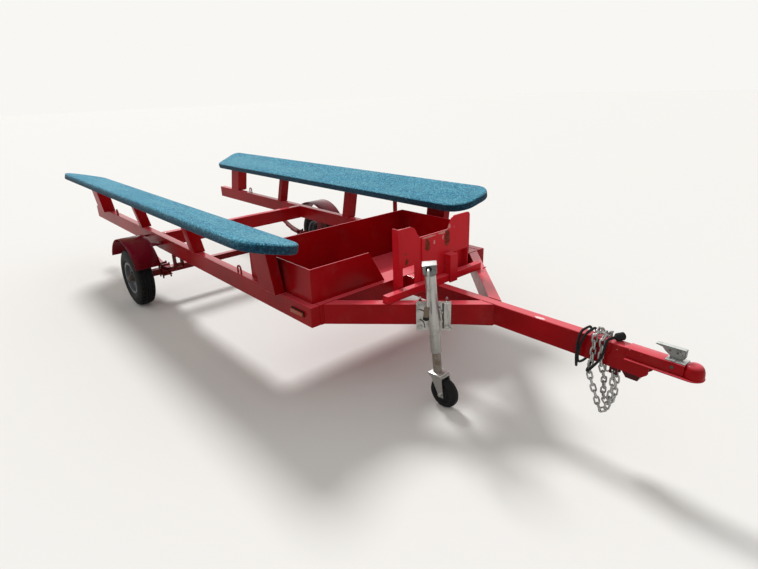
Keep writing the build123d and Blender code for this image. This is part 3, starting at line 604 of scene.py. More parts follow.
@dataclass(frozen=True)
class Studio:
    """Pale floor, soft light from high behind, and a pale surround."""

    floor_size: float = 60.0
    key_from: Point = (-0.70, 0.20, 0.72)
    key_strength: float = 2.6
    key_spread: float = 14.0
    fill: float = 0.60
    pale: Colour = rgb(0.78, 0.77, 0.75)
    surround: Colour = rgb(1.0, 0.990, 0.964)
    shown: float = 0.939

    def make(self) -> None:
        """Build floor, lamp and world."""
        self._floor()
        self._key()
        self._world()
        bpy.context.scene.view_settings.view_transform = "Standard"

    def _floor(self) -> None:
        """Lay the floor."""
        bm = bmesh.new()
        bmesh.ops.create_grid(bm, x_segments=1, y_segments=1, size=self.floor_size)
        mesh = bpy.data.meshes.new("floor")
        bm.to_mesh(mesh)
        bm.free()
        floor = bpy.data.objects.new("floor", mesh)
        floor.location = (0.0, 0.0, -0.0005)
        bpy.context.collection.objects.link(floor)
        kit = Nodes("pale_floor")
        kit.surface(Base_Color=self.pale, Roughness=0.9, Specular_IOR_Level=0.1)
        mesh.materials.append(kit.material)

    def _key(self) -> None:
        """Hang the soft key lamp."""
        data = bpy.data.lights.new("key", "SUN")
        data.energy = self.key_strength
        data.angle = math.radians(self.key_spread)
        lamp = bpy.data.objects.new("key", data)
        lamp.rotation_euler = Vector(self.key_from).to_track_quat("Z", "Y").to_euler()
        bpy.context.collection.objects.link(lamp)

    def _world(self) -> None:
        """Set the surround: fill light, and a pale colour to the camera and in reflections."""
        world = bpy.data.worlds.new("surround")
        bpy.context.scene.world = world
        world.use_nodes = True
        graph = Graph(world.node_tree)
        rays = graph.add("ShaderNodeLightPath")
        bounced = rays.number("Is Transmission Ray").most(rays.number("Is Glossy Ray"))
        seen = rays.number("Is Camera Ray").most(bounced)
        level = graph.add("ShaderNodeMapRange", None, {"Value": seen, "To Min": self.fill, "To Max": self.shown})
        background = graph.add("ShaderNodeBackground", None, {"Color": self.surround, "Strength": level.out()})
        graph.add("ShaderNodeOutputWorld", None, {"Surface": background.out()})


class Forms:
    """Shapes made with bmesh operators, added to one mesh."""

    def __init__(self) -> None:
        """Start an empty mesh."""
        self.bm = bmesh.new()

    def _turned(self, start: Sequence[float], end: Sequence[float]) -> tuple[Matrix, float]:
        """Stand a shape along a line.

        Args:
            start: The line's first end.
            end: Its other end.

        Returns:
            The matrix that does it, and the line's length.
        """
        low, high = Vector(start), Vector(end)
        way = high - low
        turn = way.to_track_quat("Z", "Y").to_matrix().to_4x4()
        return Matrix.Translation((low + high) / 2) @ turn, way.length

    def _soften(
        self, faces_of: Iterable[bmesh.types.BMVert], width: float, segments: int = 2, least: float = 50.0,
    ) -> None:
        """Bevel the sharp edges of the vertices' faces.

        Args:
            faces_of: Vertices of the shape.
            width: Width of the bevel.
            segments: Steps in its round.
            least: Angle in degrees from which an edge is sharp.
        """
        edges = dict.fromkeys(
            edge for vert in faces_of for edge in vert.link_edges
            if len(edge.link_faces) == 2 and edge.calc_face_angle(0.0) > math.radians(least)
        )
        bmesh.ops.bevel(
            self.bm, geom=list(edges), offset=width, offset_type="OFFSET", affect="EDGES", segments=segments,
            profile=0.5, material=-1, clamp_overlap=True,
        )

    def block(
        self, low: Sequence[float], high: Sequence[float], edge: float = 0.0, turn: Matrix | None = None,
    ) -> None:
        """Add a block, its edges rounded.

        Args:
            low: Lowest corner.
            high: Highest corner.
            edge: Width of its rounded edges.
            turn: Matrix from the block's own frame to the model's.
        """
        middle = [(a + b) / 2 for a, b in zip(low, high)]
        size = [b - a for a, b in zip(low, high)]
        place = (turn or Matrix()) @ Matrix.Translation(middle) @ Matrix.Diagonal((*size, 1.0))
        made = bmesh.ops.create_cube(self.bm, size=1.0, matrix=place)
        if edge:
            self._soften(made["verts"], edge)

    def rod(
        self, start: Sequence[float], end: Sequence[float], radius: float, end_radius: float | None = None,
        sides: int = 20, edge: float = 0.0,
    ) -> None:
        """Add a round or six-sided rod between two points.

        Args:
            start: Middle of its first end.
            end: Middle of its other end.
            radius: Radius at the start.
            end_radius: Radius at the end, where it tapers.
            sides: Number of its sides.
            edge: Width of the bevel round its ends.
        """
        place, length = self._turned(start, end)
        made = bmesh.ops.create_cone(
            self.bm, cap_ends=True, segments=sides, radius1=radius,
            radius2=radius if end_radius is None else end_radius, depth=length, matrix=place,
        )
        if edge:
            self._soften(made["verts"], edge, least=65.0)

    def nut(self, place: Sequence[float], way: Sequence[float], size: float, proud: float = 0.0) -> None:
        """Add a washer, a six-sided nut and the end of its bolt.

        Args:
            place: Point on the surface.
            way: Direction away from the surface.
            size: Thread diameter.
            proud: How far the bolt stands out of the nut.
        """
        base, out = Vector(place), Vector(way).normalized()
        washer, top = base + out * 0.18 * size, base + out * 0.98 * size
        self.rod(base, washer, 1.1 * size, sides=20, edge=0.04 * size)
        self.rod(washer, top, 0.92 * size, sides=6, edge=0.1 * size)
        if proud:
            tip = base + out * (0.98 * size + proud)
            self.rod(base + out * 0.9 * size, tip, 0.5 * size, sides=12, edge=0.06 * size)

    def lathe(
        self, profile: Sequence[tuple[float, float]], middle: Sequence[float], axis: Sequence[float], steps: int,
    ) -> None:
        """Spin a profile all the way round an axis.

        Args:
            profile: Points as distance along the axis and radius.
            middle: Point of the axis at distance 0.
            axis: Direction of the axis.
            steps: Steps in the full turn.
        """
        way = Vector(axis).normalized()
        side = way.orthogonal().normalized()
        verts = [self.bm.verts.new(Vector(middle) + way * along + side * radius) for along, radius in profile]
        edges = [self.bm.edges.new(pair) for pair in zip(verts, verts[1:])]
        bmesh.ops.spin(
            self.bm, geom=verts + edges, cent=Vector(middle), axis=way, dvec=(0.0, 0.0, 0.0), angle=math.tau,
            steps=steps, use_merge=True, use_duplicate=False,
        )
        bmesh.ops.remove_doubles(self.bm, verts=[v for v in self.bm.verts if v.is_valid], dist=1e-6)

    def slab(self, outline: Sequence[Sequence[float]], push: Sequence[float], edge: float = 0.0) -> None:
        """Push a flat outline into a slab.

        Args:
            outline: Corners in order.
            push: Way and depth of the push.
            edge: Width of its rounded edges.
        """
        face = self.bm.faces.new([self.bm.verts.new(corner) for corner in outline])
        made = bmesh.ops.extrude_face_region(self.bm, geom=[face], use_keep_orig=True)
        verts = [item for item in made["geom"] if isinstance(item, bmesh.types.BMVert)]
        bmesh.ops.translate(self.bm, verts=verts, vec=Vector(push))
        if edge:
            self._soften(verts + list(face.verts), edge, least=40.0)

    def pipe(
        self, path: Sequence[Sequence[float]], radius: float | Sequence[float], sides: int = 8,
        closed: bool = False, bend: int = 0,
    ) -> None:
        """Add a round pipe along a path.

        Args:
            path: Points along its middle.
            radius: Its radius, or one for each point.
            sides: Sides of its section.
            closed: Whether the path closes on itself.
            bend: Order of a smooth line through the path's bends, 0 for straight runs.
        """
        data = bpy.data.curves.new("path", "CURVE")
        data.dimensions = "3D"
        data.bevel_depth = 1.0
        data.bevel_resolution = max(0, sides // 4 - 1)
        data.use_fill_caps = not closed
        line = data.splines.new("NURBS" if bend else "POLY")
        line.points.add(len(path) - 1)
        radii = [radius] * len(path) if isinstance(radius, float) else radius
        for point, place, size in zip(line.points, path, radii):
            point.co = (*place, 1.0)
            point.radius = size
        line.use_cyclic_u = closed
        if bend:
            line.order_u = bend
            line.use_endpoint_u = not closed
            line.resolution_u = 6
        holder = bpy.data.objects.new("path", data)
        mesh = bpy.data.meshes.new_from_object(holder)
        self.bm.from_mesh(mesh)
        bpy.data.objects.remove(holder)
        bpy.data.curves.remove(data)
        bpy.data.meshes.remove(mesh)

    def ring(self, middle: Vector, way: Vector, flat: Vector, half: float, wide: float, radius: float) -> None:
        """Add one chain link of round wire.

        Args:
            middle: Its middle.
            way: Unit vector along the chain.
            flat: Unit vector across the link, in its own plane.
            half: Half its length, to the middle of the wire.
            wide: Half its width, to the middle of the wire.
            radius: Radius of the wire.
        """
        turns = [math.radians(angle) for angle in (-80, -45, 0, 45, 80)]
        arc = [(half - wide + wide * math.cos(turn), wide * math.sin(turn)) for turn in turns]
        spots = arc + [(-x, -y) for x, y in arc]
        self.pipe([middle + way * x + flat * y for x, y in spots], radius, 8, True)

    def bead(self, start: Sequence[float], end: Sequence[float], size: float = 0.0035) -> None:
        """Lay a weld bead with its ripples along a line.

        Args:
            start: Where the weld starts.
            end: Where it ends.
            size: Half the bead's width.
        """
        low, high = Vector(start), Vector(end)
        count = max(4, int((high - low).length / 0.0042))
        path = [low.lerp(high, step / count) for step in range(count + 1)]
        ripple = [size * (1.0 if step % 2 else 0.8) for step in range(count + 1)]
        ripple[0] = ripple[-1] = size * 0.4
        self.pipe(path, ripple, sides=8)


class Shop:
    """Ways to make, place and dress new pieces."""

    def __init__(self, finishes: Finishes) -> None:
        """Keep the finishes."""
        self.finishes = finishes

    def piece(
        self, name: str, forms: Forms, material: bpy.types.Material | Sequence[bpy.types.Material], slot: str,
        body: str = "frame", smooth: float = 40.0,
    ) -> bpy.types.Object:
        """Turn a mesh into a piece that rides on a body.

        Args:
            name: Name of the piece.
            forms: Its shapes, in the shared frame; their mesh is freed.
            material: Its finish, or its finishes in the order of the faces' numbers.
            slot: The record's material slot; not used.
            body: The body that it rides on.
            smooth: Angle in degrees under which edges are shaded smooth.

        Returns:
            The new object.
        """
        bmesh.ops.recalc_face_normals(forms.bm, faces=forms.bm.faces)
        mesh = bpy.data.meshes.new(name)
        forms.bm.to_mesh(mesh)
        forms.bm.free()
        for finish in material if isinstance(material, (list, tuple)) else (material,):
            mesh.materials.append(finish)
        obj = bpy.data.objects.new(name, mesh)
        bpy.context.collection.objects.link(obj)
        mesh.shade_smooth()
        mesh.set_sharp_from_angle(angle=math.radians(smooth))
        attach(obj, body)
        log.info("%s: %d faces on %s", name, len(mesh.polygons), body)
        return obj

    def dress_cad(self) -> None:
        """Give every CAD node the finish of its slot."""
        by_slot = self.finishes.by_slot()
        for entry in frame["record"]["subparts"]:
            node = frame["nodes"][entry["node"]]
            material = by_slot[entry["material_slot"]]
            if entry["node"] in SPECIAL:
                material = getattr(self.finishes, SPECIAL[entry["node"]])
            for place in node.material_slots:
                place.material = material
            if not node.material_slots:
                node.data.materials.append(material)
            self.round_edges(node, TUBE_ROUND if entry["node"] in TUBES else SHEET_ROUND)

    def round_edges(self, node: bpy.types.Object, width: float) -> None:
        """Round a CAD node's sharp edges with modifiers.

        Args:
            node: The node's object.
            width: Width of the rounds.
        """
        weld = node.modifiers.new("weld", "WELD")
        weld.merge_threshold = 1e-6
        bevel = node.modifiers.new("rounds", "BEVEL")
        bevel.width = width
        bevel.segments = 3 if width > 0.002 else 2
        bevel.limit_method = "ANGLE"
        bevel.angle_limit = math.radians(35.0)
        bevel.use_clamp_overlap = True


@dataclass
class Assembly:
    """One group of pieces.

    Attributes:
        shop: Where its pieces are made.
    """

    shop: Shop


@dataclass
class Bunk(Assembly):
    """One carpeted board, in the place of its CAD node.

    Attributes:
        side: Its side of the trailer.
        inner: y outward and z of the top's inner edge.
        outer: y outward and z of the top's outer edge.
        end: x of the rear end at the outer edge.
        end_round: Radius of that corner.
        thick: Thickness of board and carpet.
        front: x of the front end.
        rear: x of the rear end at the inner edge.
        front_round: Radius of both front corners.
        rear_round: Radius of the inner rear corner.
        rim_round: Width of the rounded rims.
        lap: How far the carpet reaches in under the board.
    """

    side: Side
    inner: tuple[float, float]
    outer: tuple[float, float]
    end: float
    end_round: float
    thick: float = 0.050
    front: float = RAIL_FRONT - 0.112
    rear: float = RAIL_FRONT - 3.36
    front_round: float = 0.13
    rear_round: float = 0.08
    rim_round: float = 0.012
    lap: float = 0.06

    def build(self) -> None:
        """Make the board with its carpet wrapped round it."""
        width = math.hypot(self.outer[0] - self.inner[0], self.outer[1] - self.inner[1])
        forms = Forms()
        bm = forms.bm
        corners = (
            (self.rear, 0.0, self.rear_round), (self.end, width, self.end_round),
            (self.front, width, self.front_round), (self.front, 0.0, self.front_round),
        )
        face = bm.faces.new([bm.verts.new((x, w, 0.0)) for x, w, _ in corners])
        for vert, (x, w, radius) in zip(list(face.verts), corners):
            ways = [edge.other_vert(vert).co - vert.co for edge in vert.link_edges]
            reach = radius / math.tan(ways[0].angle(ways[1]) / 2)
            bmesh.ops.bevel(
                bm, geom=[vert], offset=reach, offset_type="OFFSET", affect="VERTICES", segments=10, profile=0.5,
                material=-1,
            )
        made = bmesh.ops.extrude_face_region(bm, geom=list(bm.faces), use_keep_orig=True)
        low = [item for item in made["geom"] if isinstance(item, bmesh.types.BMVert)]
        bmesh.ops.translate(bm, verts=low, vec=(0.0, 0.0, -self.thick))
        under = [item for item in made["geom"] if isinstance(item, bmesh.types.BMFace)]
        bmesh.ops.inset_region(bm, faces=under, thickness=self.lap, use_even_offset=True)
        bmesh.ops.inset_region(bm, faces=under, thickness=0.002, depth=-0.003, use_even_offset=True)
        for board in under:
            board.material_index = 1
        rims = [
            edge for edge in bm.edges
            if len(edge.link_faces) == 2 and edge.calc_face_angle(0.0) > math.radians(70)
            and (abs(edge.verts[0].co.z) < 1e-5 or abs(edge.verts[0].co.z + self.thick) < 1e-5)
            and abs(edge.verts[0].co.z - edge.verts[1].co.z) < 1e-5
        ]
        bmesh.ops.bevel(
            bm, geom=rims, offset=self.rim_round, offset_type="OFFSET", affect="EDGES", segments=4, profile=0.5,
            material=-1, clamp_overlap=True,
        )
        sign = self.side.value
        along = (sign * (self.outer[0] - self.inner[0]) / width, (self.outer[1] - self.inner[1]) / width)
        turn = Matrix((
            (1.0, 0.0, 0.0, 0.0),
            (0.0, along[0], -sign * along[1], sign * self.inner[0]),
            (0.0, along[1], sign * along[0], self.inner[1]),
            (0.0, 0.0, 0.0, 1.0),
        ))
        bmesh.ops.transform(bm, matrix=turn, verts=bm.verts)
        skins = (self.shop.finishes.carpet, self.shop.finishes.timber)
        piece = self.shop.piece(f"carpeted_bunk_{self.side.word}", forms, skins, "carpet")
        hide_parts(f"bunk_{self.side.word}")


@dataclass
class RoadWheel(Assembly):
    """Tyre with its tread, and the nuts and cap of one wheel.

    Attributes:
        side: Its side of the trailer.
        middle_y: Distance of its middle from the trailer's.
        radius: Radius of the tyre.
        steps: Steps round the tyre.
        grooves: Least and greatest distance of the side blocks' cuts from the middle.
        groove_deep: Depth of those cuts.
        nut_circle: Radius of the circle of nuts.
    """

    side: Side
    middle_y: float = 0.815
    radius: float = 0.2085
    steps: int = 96
    grooves: tuple[float, float] = (0.0280, 0.0480)
    groove_deep: float = 0.0045
    nut_circle: float = 0.0435

    def build(self) -> None:
        """Make the tyre and the wheel's nuts."""
        self._tyre()
        self._nuts()

    def _tyre(self) -> None:
        """Spin the tyre's section and cut its tread blocks."""
        half = [
            (0.0, self.radius), (0.0055, self.radius), (0.0055, 0.2025), (0.0095, 0.2025), (0.0095, 0.2082),
            (0.0235, 0.2068), (0.0235, 0.2015), (0.0275, 0.2015), (0.0275, 0.2058), (0.0400, 0.2030),
            (0.0465, 0.1990), (0.0512, 0.1900), (0.0560, 0.1780), (0.0600, 0.1620), (0.0608, 0.1500),
            (0.0585, 0.1360), (0.0575, 0.1345), (0.0570, 0.1300), (0.0535, 0.1240), (0.0475, 0.1180),
            (0.0465, 0.1120), (0.0465, 0.1046),
        ]
        profile = [(-a, r) for a, r in half[:0:-1]] + half + [(0.0, 0.1046)]
        profile.append(profile[0])
        forms = Forms()
        middle = (AXLE_X, self.side.value * self.middle_y, self.radius)
        forms.lathe(profile, middle, (0.0, 1.0, 0.0), self.steps)
        bm = forms.bm
        bmesh.ops.recalc_face_normals(bm, faces=bm.faces)
        blocks = []
        for face in bm.faces:
            spot = face.calc_center_median()
            away = abs(spot.y - middle[1])
            rise, run = spot.z - middle[2], spot.x - middle[0]
            step = int((math.atan2(rise, run) / math.tau + 0.5) * self.steps - 1e-6)
            if self.grooves[0] < away < self.grooves[1] and step % 3 == 0 and math.hypot(run, rise) > 0.19:
                blocks.append(face)
        cut = bmesh.ops.extrude_face_region(bm, geom=blocks)
        for item in cut["geom"]:
            if isinstance(item, bmesh.types.BMVert):
                spoke = Vector((item.co.x - middle[0], 0.0, item.co.z - middle[2]))
                item.co -= spoke.normalized() * self.groove_deep
        bmesh.ops.delete(bm, geom=blocks, context="FACES")
        word, tyre = self.side.word, self.shop.finishes.tyre
        piece = self.shop.piece(f"road_tyre_{word}", forms, tyre, "tyre_rubber", f"wheel_{word}", 50.0)
        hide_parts(f"tyre_{word}")

    def _nuts(self) -> None:
        """Make the wheel nuts, the grease cap and the valve."""
        forms = Forms()
        sign = self.side.value
        out = (0.0, float(sign), 0.0)
        for turn in range(4):
            angle = math.radians(45 + 90 * turn)
            reach, rise = self.nut_circle * math.cos(angle), self.nut_circle * math.sin(angle)
            forms.nut((AXLE_X + reach, sign * (self.middle_y + 0.018), self.radius + rise), out, 0.0115, 0.006)
        spot = (AXLE_X, sign * self.middle_y, self.radius)
        grease_cap = (
            (0.044, 0.0242), (0.048, 0.0252), (0.0495, 0.0225), (0.060, 0.0215), (0.066, 0.018),
            (0.0688, 0.010), (0.0696, 0.0),
        )
        forms.lathe(grease_cap, spot, out, 32)
        valve = Vector(spot) + Vector((0.030, sign * 0.020, 0.070))
        forms.rod(valve, valve + Vector((0.004, sign * 0.022, -0.006)), 0.0042, sides=12, edge=0.0006)
        word = self.side.word
        self.shop.piece(f"wheel_nuts_{word}", forms, self.shop.finishes.dark_steel, "dark_steel", f"wheel_{word}")


@dataclass
class JackFrame:
    """The jack's own frame: x along the diagonal, y inward, z up the tube."""

    origin: Point = (1.462394, -0.254106, 0.44)
    along: Point = (0.722771, 0.687009, 0.074979)
    up: Point = (-0.054345, -0.051656, 0.997185)
    outward: Point = (0.688948, -0.724811, 0.0)

    def matrix(self) -> Matrix:
        """Return the matrix from this frame to the model's."""
        inward = [-value for value in self.outward]
        turn = Matrix((self.along, inward, self.up)).transposed()
        return Matrix.Translation(self.origin) @ turn.to_4x4()

    def spot(self, x: float, y: float, z: float) -> Vector:
        """Return a point of this frame in the model's."""
        return self.matrix() @ Vector((x, y, z))


@dataclass
class Jack(Assembly):
    """Swivel jack: crank head, mount and caster trim.

    Attributes:
        at: The jack's own frame.
        head_low: Height of the gear head's underside in it.
        head_high: Height of the gear head's top in it.
        crank: Height of the crank's axle in it.
        bolt_reach: Distance of the mount's bolts from its middle.
        plate_face: Distance from the diagonal's face to the jack's axis, less the plate.
    """

    at: JackFrame
    head_low: float = 0.231
    head_high: float = 0.276
    crank: float = 0.2575
    bolt_reach: float = 0.062
    plate_face: float = 0.0505 - 0.008

    def build(self) -> None:
        """Make the jack's own pieces."""
        self._head()
        self._mount()
        self._caster()

    def _head(self) -> None:
        """Make the gear housing with the crank."""
        forms = Forms()
        turn = self.at.matrix()
        forms.block((-0.031, -0.035, self.head_low), (0.031, 0.027, self.head_high - 0.003), 0.006, turn)
        forms.block((-0.033, -0.037, self.head_high - 0.009), (0.033, 0.029, self.head_high), 0.004, turn)
        spot = self.at.spot
        up = spot(0, 0, 1) - spot(0, 0, 0)
        collar = ((0.004, 0.0), (0.004, 0.028), (-0.006, 0.0272), (-0.012, 0.0256))
        forms.lathe(collar, spot(0, 0, self.head_low), up, 40)
        head = self.shop.piece("jack_gear_head", forms, self.shop.finishes.head, "zinc", "jack_leg")
        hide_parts("jack_head")
        socket = Forms()
        inner, outer = spot(-0.004, -0.0345, self.crank), spot(-0.004, -0.0375, self.crank)
        socket.rod(inner, outer, 0.0135, sides=28, edge=0.0008)
        self.shop.piece("crank_socket", socket, self.shop.finishes.black, "black_rubber", "jack_leg")
        crank = Forms()
        bends = (
            (-0.004, -0.034, self.crank), (-0.005, -0.054, 0.258), (-0.006, -0.0585, 0.2555),
            (-0.007, -0.0585, 0.249), (-0.0215, -0.0585, 0.084),
        )
        crank.pipe([spot(*bend) for bend in bends], 0.006, 16)
        self.shop.piece("crank_rod", crank, self.shop.finishes.zinc, "zinc", "jack_leg")
        start, end = spot(-0.0235, -0.058, 0.092), spot(-0.0335, -0.058, 0.030)
        grip = Forms()
        handle = (
            (0.0, 0.0), (0.0, 0.010), (0.003, 0.0130), (0.026, 0.0118), (0.044, 0.0128), (0.0445, 0.0136),
            (0.057, 0.0132), (0.062, 0.008), (0.062, 0.0),
        )
        grip.lathe(handle, start, end - start, 24)
        self.shop.piece("crank_grip", grip, self.shop.finishes.grip, "black_rubber", "jack_leg")
        cap = Forms()
        tip = ((0.0, 0.0), (0.0, 0.0138), (0.014, 0.0138), (0.018, 0.009), (0.018, 0.0))
        cap.lathe(tip, start.lerp(end, 0.74), end - start, 24)
        self.shop.piece("crank_grip_cap", cap, self.shop.finishes.black, "black_rubber", "jack_leg")

    def _on_plate(self, reach: float, height: float, proud: float) -> Vector:
        """Place a point on the mounting plate.

        Args:
            reach: Distance forward along the plate, from its middle.
            height: Distance up.
            proud: Distance out of the plate's face.

        Returns:
            The point in the shared frame.
        """
        out = Vector(self.at.outward)
        level = Vector((self.at.along[0], self.at.along[1], 0.0)).normalized()
        face = Vector(self.at.origin) - out * self.plate_face
        return face + level * reach + Vector((0, 0, height)) + out * proud

    def _mount(self) -> None:
        """Make the nuts, flange, pull pin, ribs and U-bolts of the mounting plate."""
        finishes, spot, out = self.shop.finishes, self._on_plate, self.at.outward
        forms = Forms()
        for reach in (-self.bolt_reach, self.bolt_reach):
            for height in (0.063, -0.053):
                forms.nut(spot(reach, height, 0.0), out, 0.0115, 0.004)
        flange = ((0.049, 0.071), (0.052, 0.045), (0.061, 0.020), (0.066, -0.005), (0.072, -0.035), (0.083, -0.061))
        bends = [spot(reach + wide, height, 0.0) for wide in (0.0, 0.006) for reach, height in flange]
        forms.slab(bends[:6] + bends[:5:-1], Vector(out) * 0.013, 0.0012)
        self.shop.piece("jack_mount_nuts", forms, finishes.zinc, "zinc")
        pin = Forms()
        pin.rod(spot(0.026, 0.045, 0.0135), spot(0.035, -0.014, 0.0137), 0.0065, sides=20, edge=0.0025)
        self.shop.piece("swivel_pin", pin, finishes.zinc, "zinc", "jack_leg")
        groove = Forms()
        groove.rod(spot(0.0432, 0.018, 0.006), spot(0.0436, -0.018, 0.006), 0.0042, sides=12)
        self.shop.piece("swivel_plate_groove", groove, finishes.dark_steel, "dark_steel", "jack_leg")
        ribs = Forms()
        ribs.rod(spot(0.043, 0.064, 0.0028), spot(0.045, -0.060, 0.0028), 0.0036, sides=12)
        for curve in (
            ((-0.064, 0.034), (-0.046, 0.030), (-0.036, 0.012), (-0.034, -0.012)),
            ((-0.064, -0.016), (-0.050, -0.022), (-0.042, -0.038), (-0.040, -0.058)),
        ):
            ribs.pipe([spot(reach, height, 0.001) for reach, height in curve], 0.0024, 8, bend=3)
        self.shop.piece("jack_mount_ribs", ribs, finishes.dark_steel, "dark_steel")
        bolts = Forms()
        top, bottom, wire = 0.0635, -0.0535, 0.0055
        for reach in (-self.bolt_reach, self.bolt_reach):
            bolts.nut(spot(reach, 0.069, -0.012), (0.0, 0.0, 1.0), 0.009, 0.004)
        for reach in (-self.bolt_reach, self.bolt_reach):
            for height in (top, bottom):
                bolts.rod(spot(reach, height, 0.0), spot(reach, height, -0.068), wire, sides=16)
            bolts.rod(spot(reach, bottom, -0.066), spot(reach, top, -0.066), wire, sides=16)
        self.shop.piece("jack_u_bolts", bolts, finishes.under_paint, "red_paint")

    def _caster(self) -> None:
        """Make the caster's tyre with rounded shoulders and its axle nuts."""
        wheel = Vector((1.516226, -0.235256, 0.077035))
        axis = Vector((-0.001406, 0.998664, 0.051656))
        forms = Forms()
        half = (
            (-0.0218, 0.0065), (-0.0218, 0.030), (-0.0165, 0.034), (-0.0165, 0.046), (-0.0215, 0.050),
            (-0.0215, 0.062), (-0.019, 0.0695), (-0.013, 0.0742), (-0.005, 0.0758),
        )
        forms.lathe((*half, *((-away, radius) for away, radius in reversed(half)), half[0]), wheel, axis, 64)
        piece = self.shop.piece("caster_tyre", forms, self.shop.finishes.black, "black_rubber", "caster_wheel")
        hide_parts("caster_wheel")
        plate = Forms()
        up = Vector(self.at.up)
        trail = axis.cross(up)
        turn = Matrix((trail.normalized(), up.cross(trail).normalized(), up)).transposed().to_4x4()
        place = Matrix.Translation(self.at.origin) @ turn
        plate.block((-0.034, -0.032, -0.2775), (0.042, 0.032, -0.2652), 0.003, place)
        self.shop.piece("fork_top_plate", plate, self.shop.finishes.zinc, "zinc", "caster_fork")
        nuts = Forms()
        for side in (-1, 1):
            nuts.nut(wheel + axis * side * 0.0306, axis * side, 0.010, 0.0)
        self.shop.piece("caster_axle_nuts", nuts, self.shop.finishes.zinc, "zinc", "caster_fork")


@dataclass
class Coupler(Assembly):
    """Pressed coupler: channel with rolled flange and ball dome, latch lever and strap.

    Attributes:
        top: Height of the channel's top.
        skirt: Height of its lower rim.
        half: Half its width.
        wall: Thickness of its sheet.
        flange: Half the width over its rolled flange.
        rear: x of its rear end.
        ball: x of the ball's middle.
        lever: x of the lever's rear end.
        lever_half: Half the lever's width.
        lever_wall: Thickness of the lever's sheet.
    """

    top: float = RAIL_TOP + 0.003
    skirt: float = 0.4525
    half: float = 0.029
    wall: float = 0.0034
    flange: float = 0.043
    rear: float = RAIL_FRONT + 1.175
    ball: float = RAIL_FRONT + 1.400
    lever: float = RAIL_FRONT + 1.264
    lever_half: float = 0.0098
    lever_wall: float = 0.0026

    def build(self) -> None:
        """Make the pressed shell, the latch and the pivot heads."""
        self._shell()
        self._latch()
        self._boss()

    def _shell(self) -> None:
        """Make the channel, its flange and the dome over the ball."""
        forms = Forms()
        rear, ball, half, low, top = self.rear, self.ball, self.half, self.skirt, self.top
        shoulder = [(half, low), (half, top - 0.007), (half - 0.002, top - 0.002), (half - 0.007, top)]
        section = shoulder + [(-y, z) for y, z in reversed(shoulder)]
        inner, roof = half - self.wall, top - self.wall
        section += [(-inner, low), (-inner, roof), (inner, roof), (inner, low)]
        forms.slab([(rear, y, z) for y, z in section], (ball - 0.024 - rear, 0.0, 0.0))
        wide, narrow = self.flange, half - 0.0015
        turns = [math.radians(angle) for angle in range(90, -1, -10)]
        for side in (-1, 1):
            edge = [(rear, side * narrow), (rear, side * (wide - 0.0005)), (rear + 0.0015, side * wide)]
            edge += [(ball - 0.0055 + wide * math.cos(turn), side * wide * math.sin(turn)) for turn in turns]
            edge += [(ball + narrow * math.cos(turn), side * narrow * math.sin(turn)) for turn in reversed(turns)]
            forms.slab([(x, y, low) for x, y in edge], (0.0, 0.0, 0.0038), 0.0009)
        dome = (
            (0.508, 0.0), (0.5078, 0.008), (0.5055, 0.017), (0.5005, 0.0245), (0.4925, 0.0305), (0.482, 0.0342),
            (0.470, 0.0355), (low + 0.004, 0.0357), (low + 0.0005, 0.0345), (low + 0.0005, 0.0275),
            (low + 0.0015, 0.0265), (0.474, 0.0262), (0.484, 0.0225), (0.492, 0.0120), (0.4945, 0.0),
        )
        forms.lathe(dome, (ball, 0.0, 0.0), (0.0, 0.0, 1.0), 56)
        piece = self.shop.piece("pressed_coupler", forms, self.shop.finishes.paint, "red_paint")
        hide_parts("coupler_body")

    def _latch(self) -> None:
        """Make the folded latch lever with its strap and trigger."""
        forms = Forms()
        start, y, wall = self.lever, self.lever_half, self.lever_wall
        outline = (
            (0.002, 0.5415), (0.002, 0.5450), (0.0205, 0.5460), (0.102, 0.5475), (0.104, 0.5460), (0.1035, 0.5150),
            (0.1010, 0.5130), (0.066, 0.5090), (0.060, 0.5110), (0.049, 0.5170), (0.036, 0.5260), (0.026, 0.5375),
        )
        for side in (-1, 1):
            forms.slab([(start + x, side * y, z) for x, z in outline], (0.0, -side * wall, 0.0), 0.0007)
        for sheet in (
            ((0.002, 0.5450 - wall), (0.002, 0.5450), (0.0205, 0.5460), (0.0205, 0.5460 - wall)),
            ((0.0205, 0.5460 - wall), (0.0205, 0.5460), (0.102, 0.5475), (0.102, 0.5475 - wall)),
            ((0.1015, 0.5465), (0.104, 0.5455), (0.1035, 0.516), (0.101, 0.516)),
        ):
            forms.slab([(start + x, -y, z) for x, z in sheet], (0.0, 2 * y, 0.0), 0.0006)
        for x, half, z, radius, sides, edge in (
            (0.090, 0.0125, 0.524, 0.0042, 16, 0.0008), (0.058, 0.0118, 0.526, 0.0030, 12, 0.0006),
        ):
            forms.rod((start + x, -half, z), (start + x, half, z), radius, sides=sides, edge=edge)
        for x0, x1, half, z0, z1, edge in (
            (0.052, 0.096, 0.0065, self.top, 0.523, 0.0025),
            (0.044, 0.112, 0.024, self.top - 0.001, self.top + 0.0035, 0.0016),
            (0.062, 0.078, 0.026, self.top + 0.002, self.top + 0.0062, 0.0012),
        ):
            forms.block((start + x0, -half, z0), (start + x1, half, z1), edge)
        piece = self.shop.piece("coupler_lever", forms, self.shop.finishes.lever, "zinc")
        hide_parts("coupler_latch")
        holes = Forms()
        for x, z, radius in (
            (0.052, 0.5335, 0.0034), (0.078, 0.5300, 0.0042), (0.092, 0.5270, 0.0030), (0.086, 0.5385, 0.0026),
        ):
            holes.rod((start + x, -y - 0.0003, z), (start + x, y + 0.0003, z), radius, sides=16)
        self.shop.piece("lever_holes", holes, self.shop.finishes.dark_steel, "dark_steel")

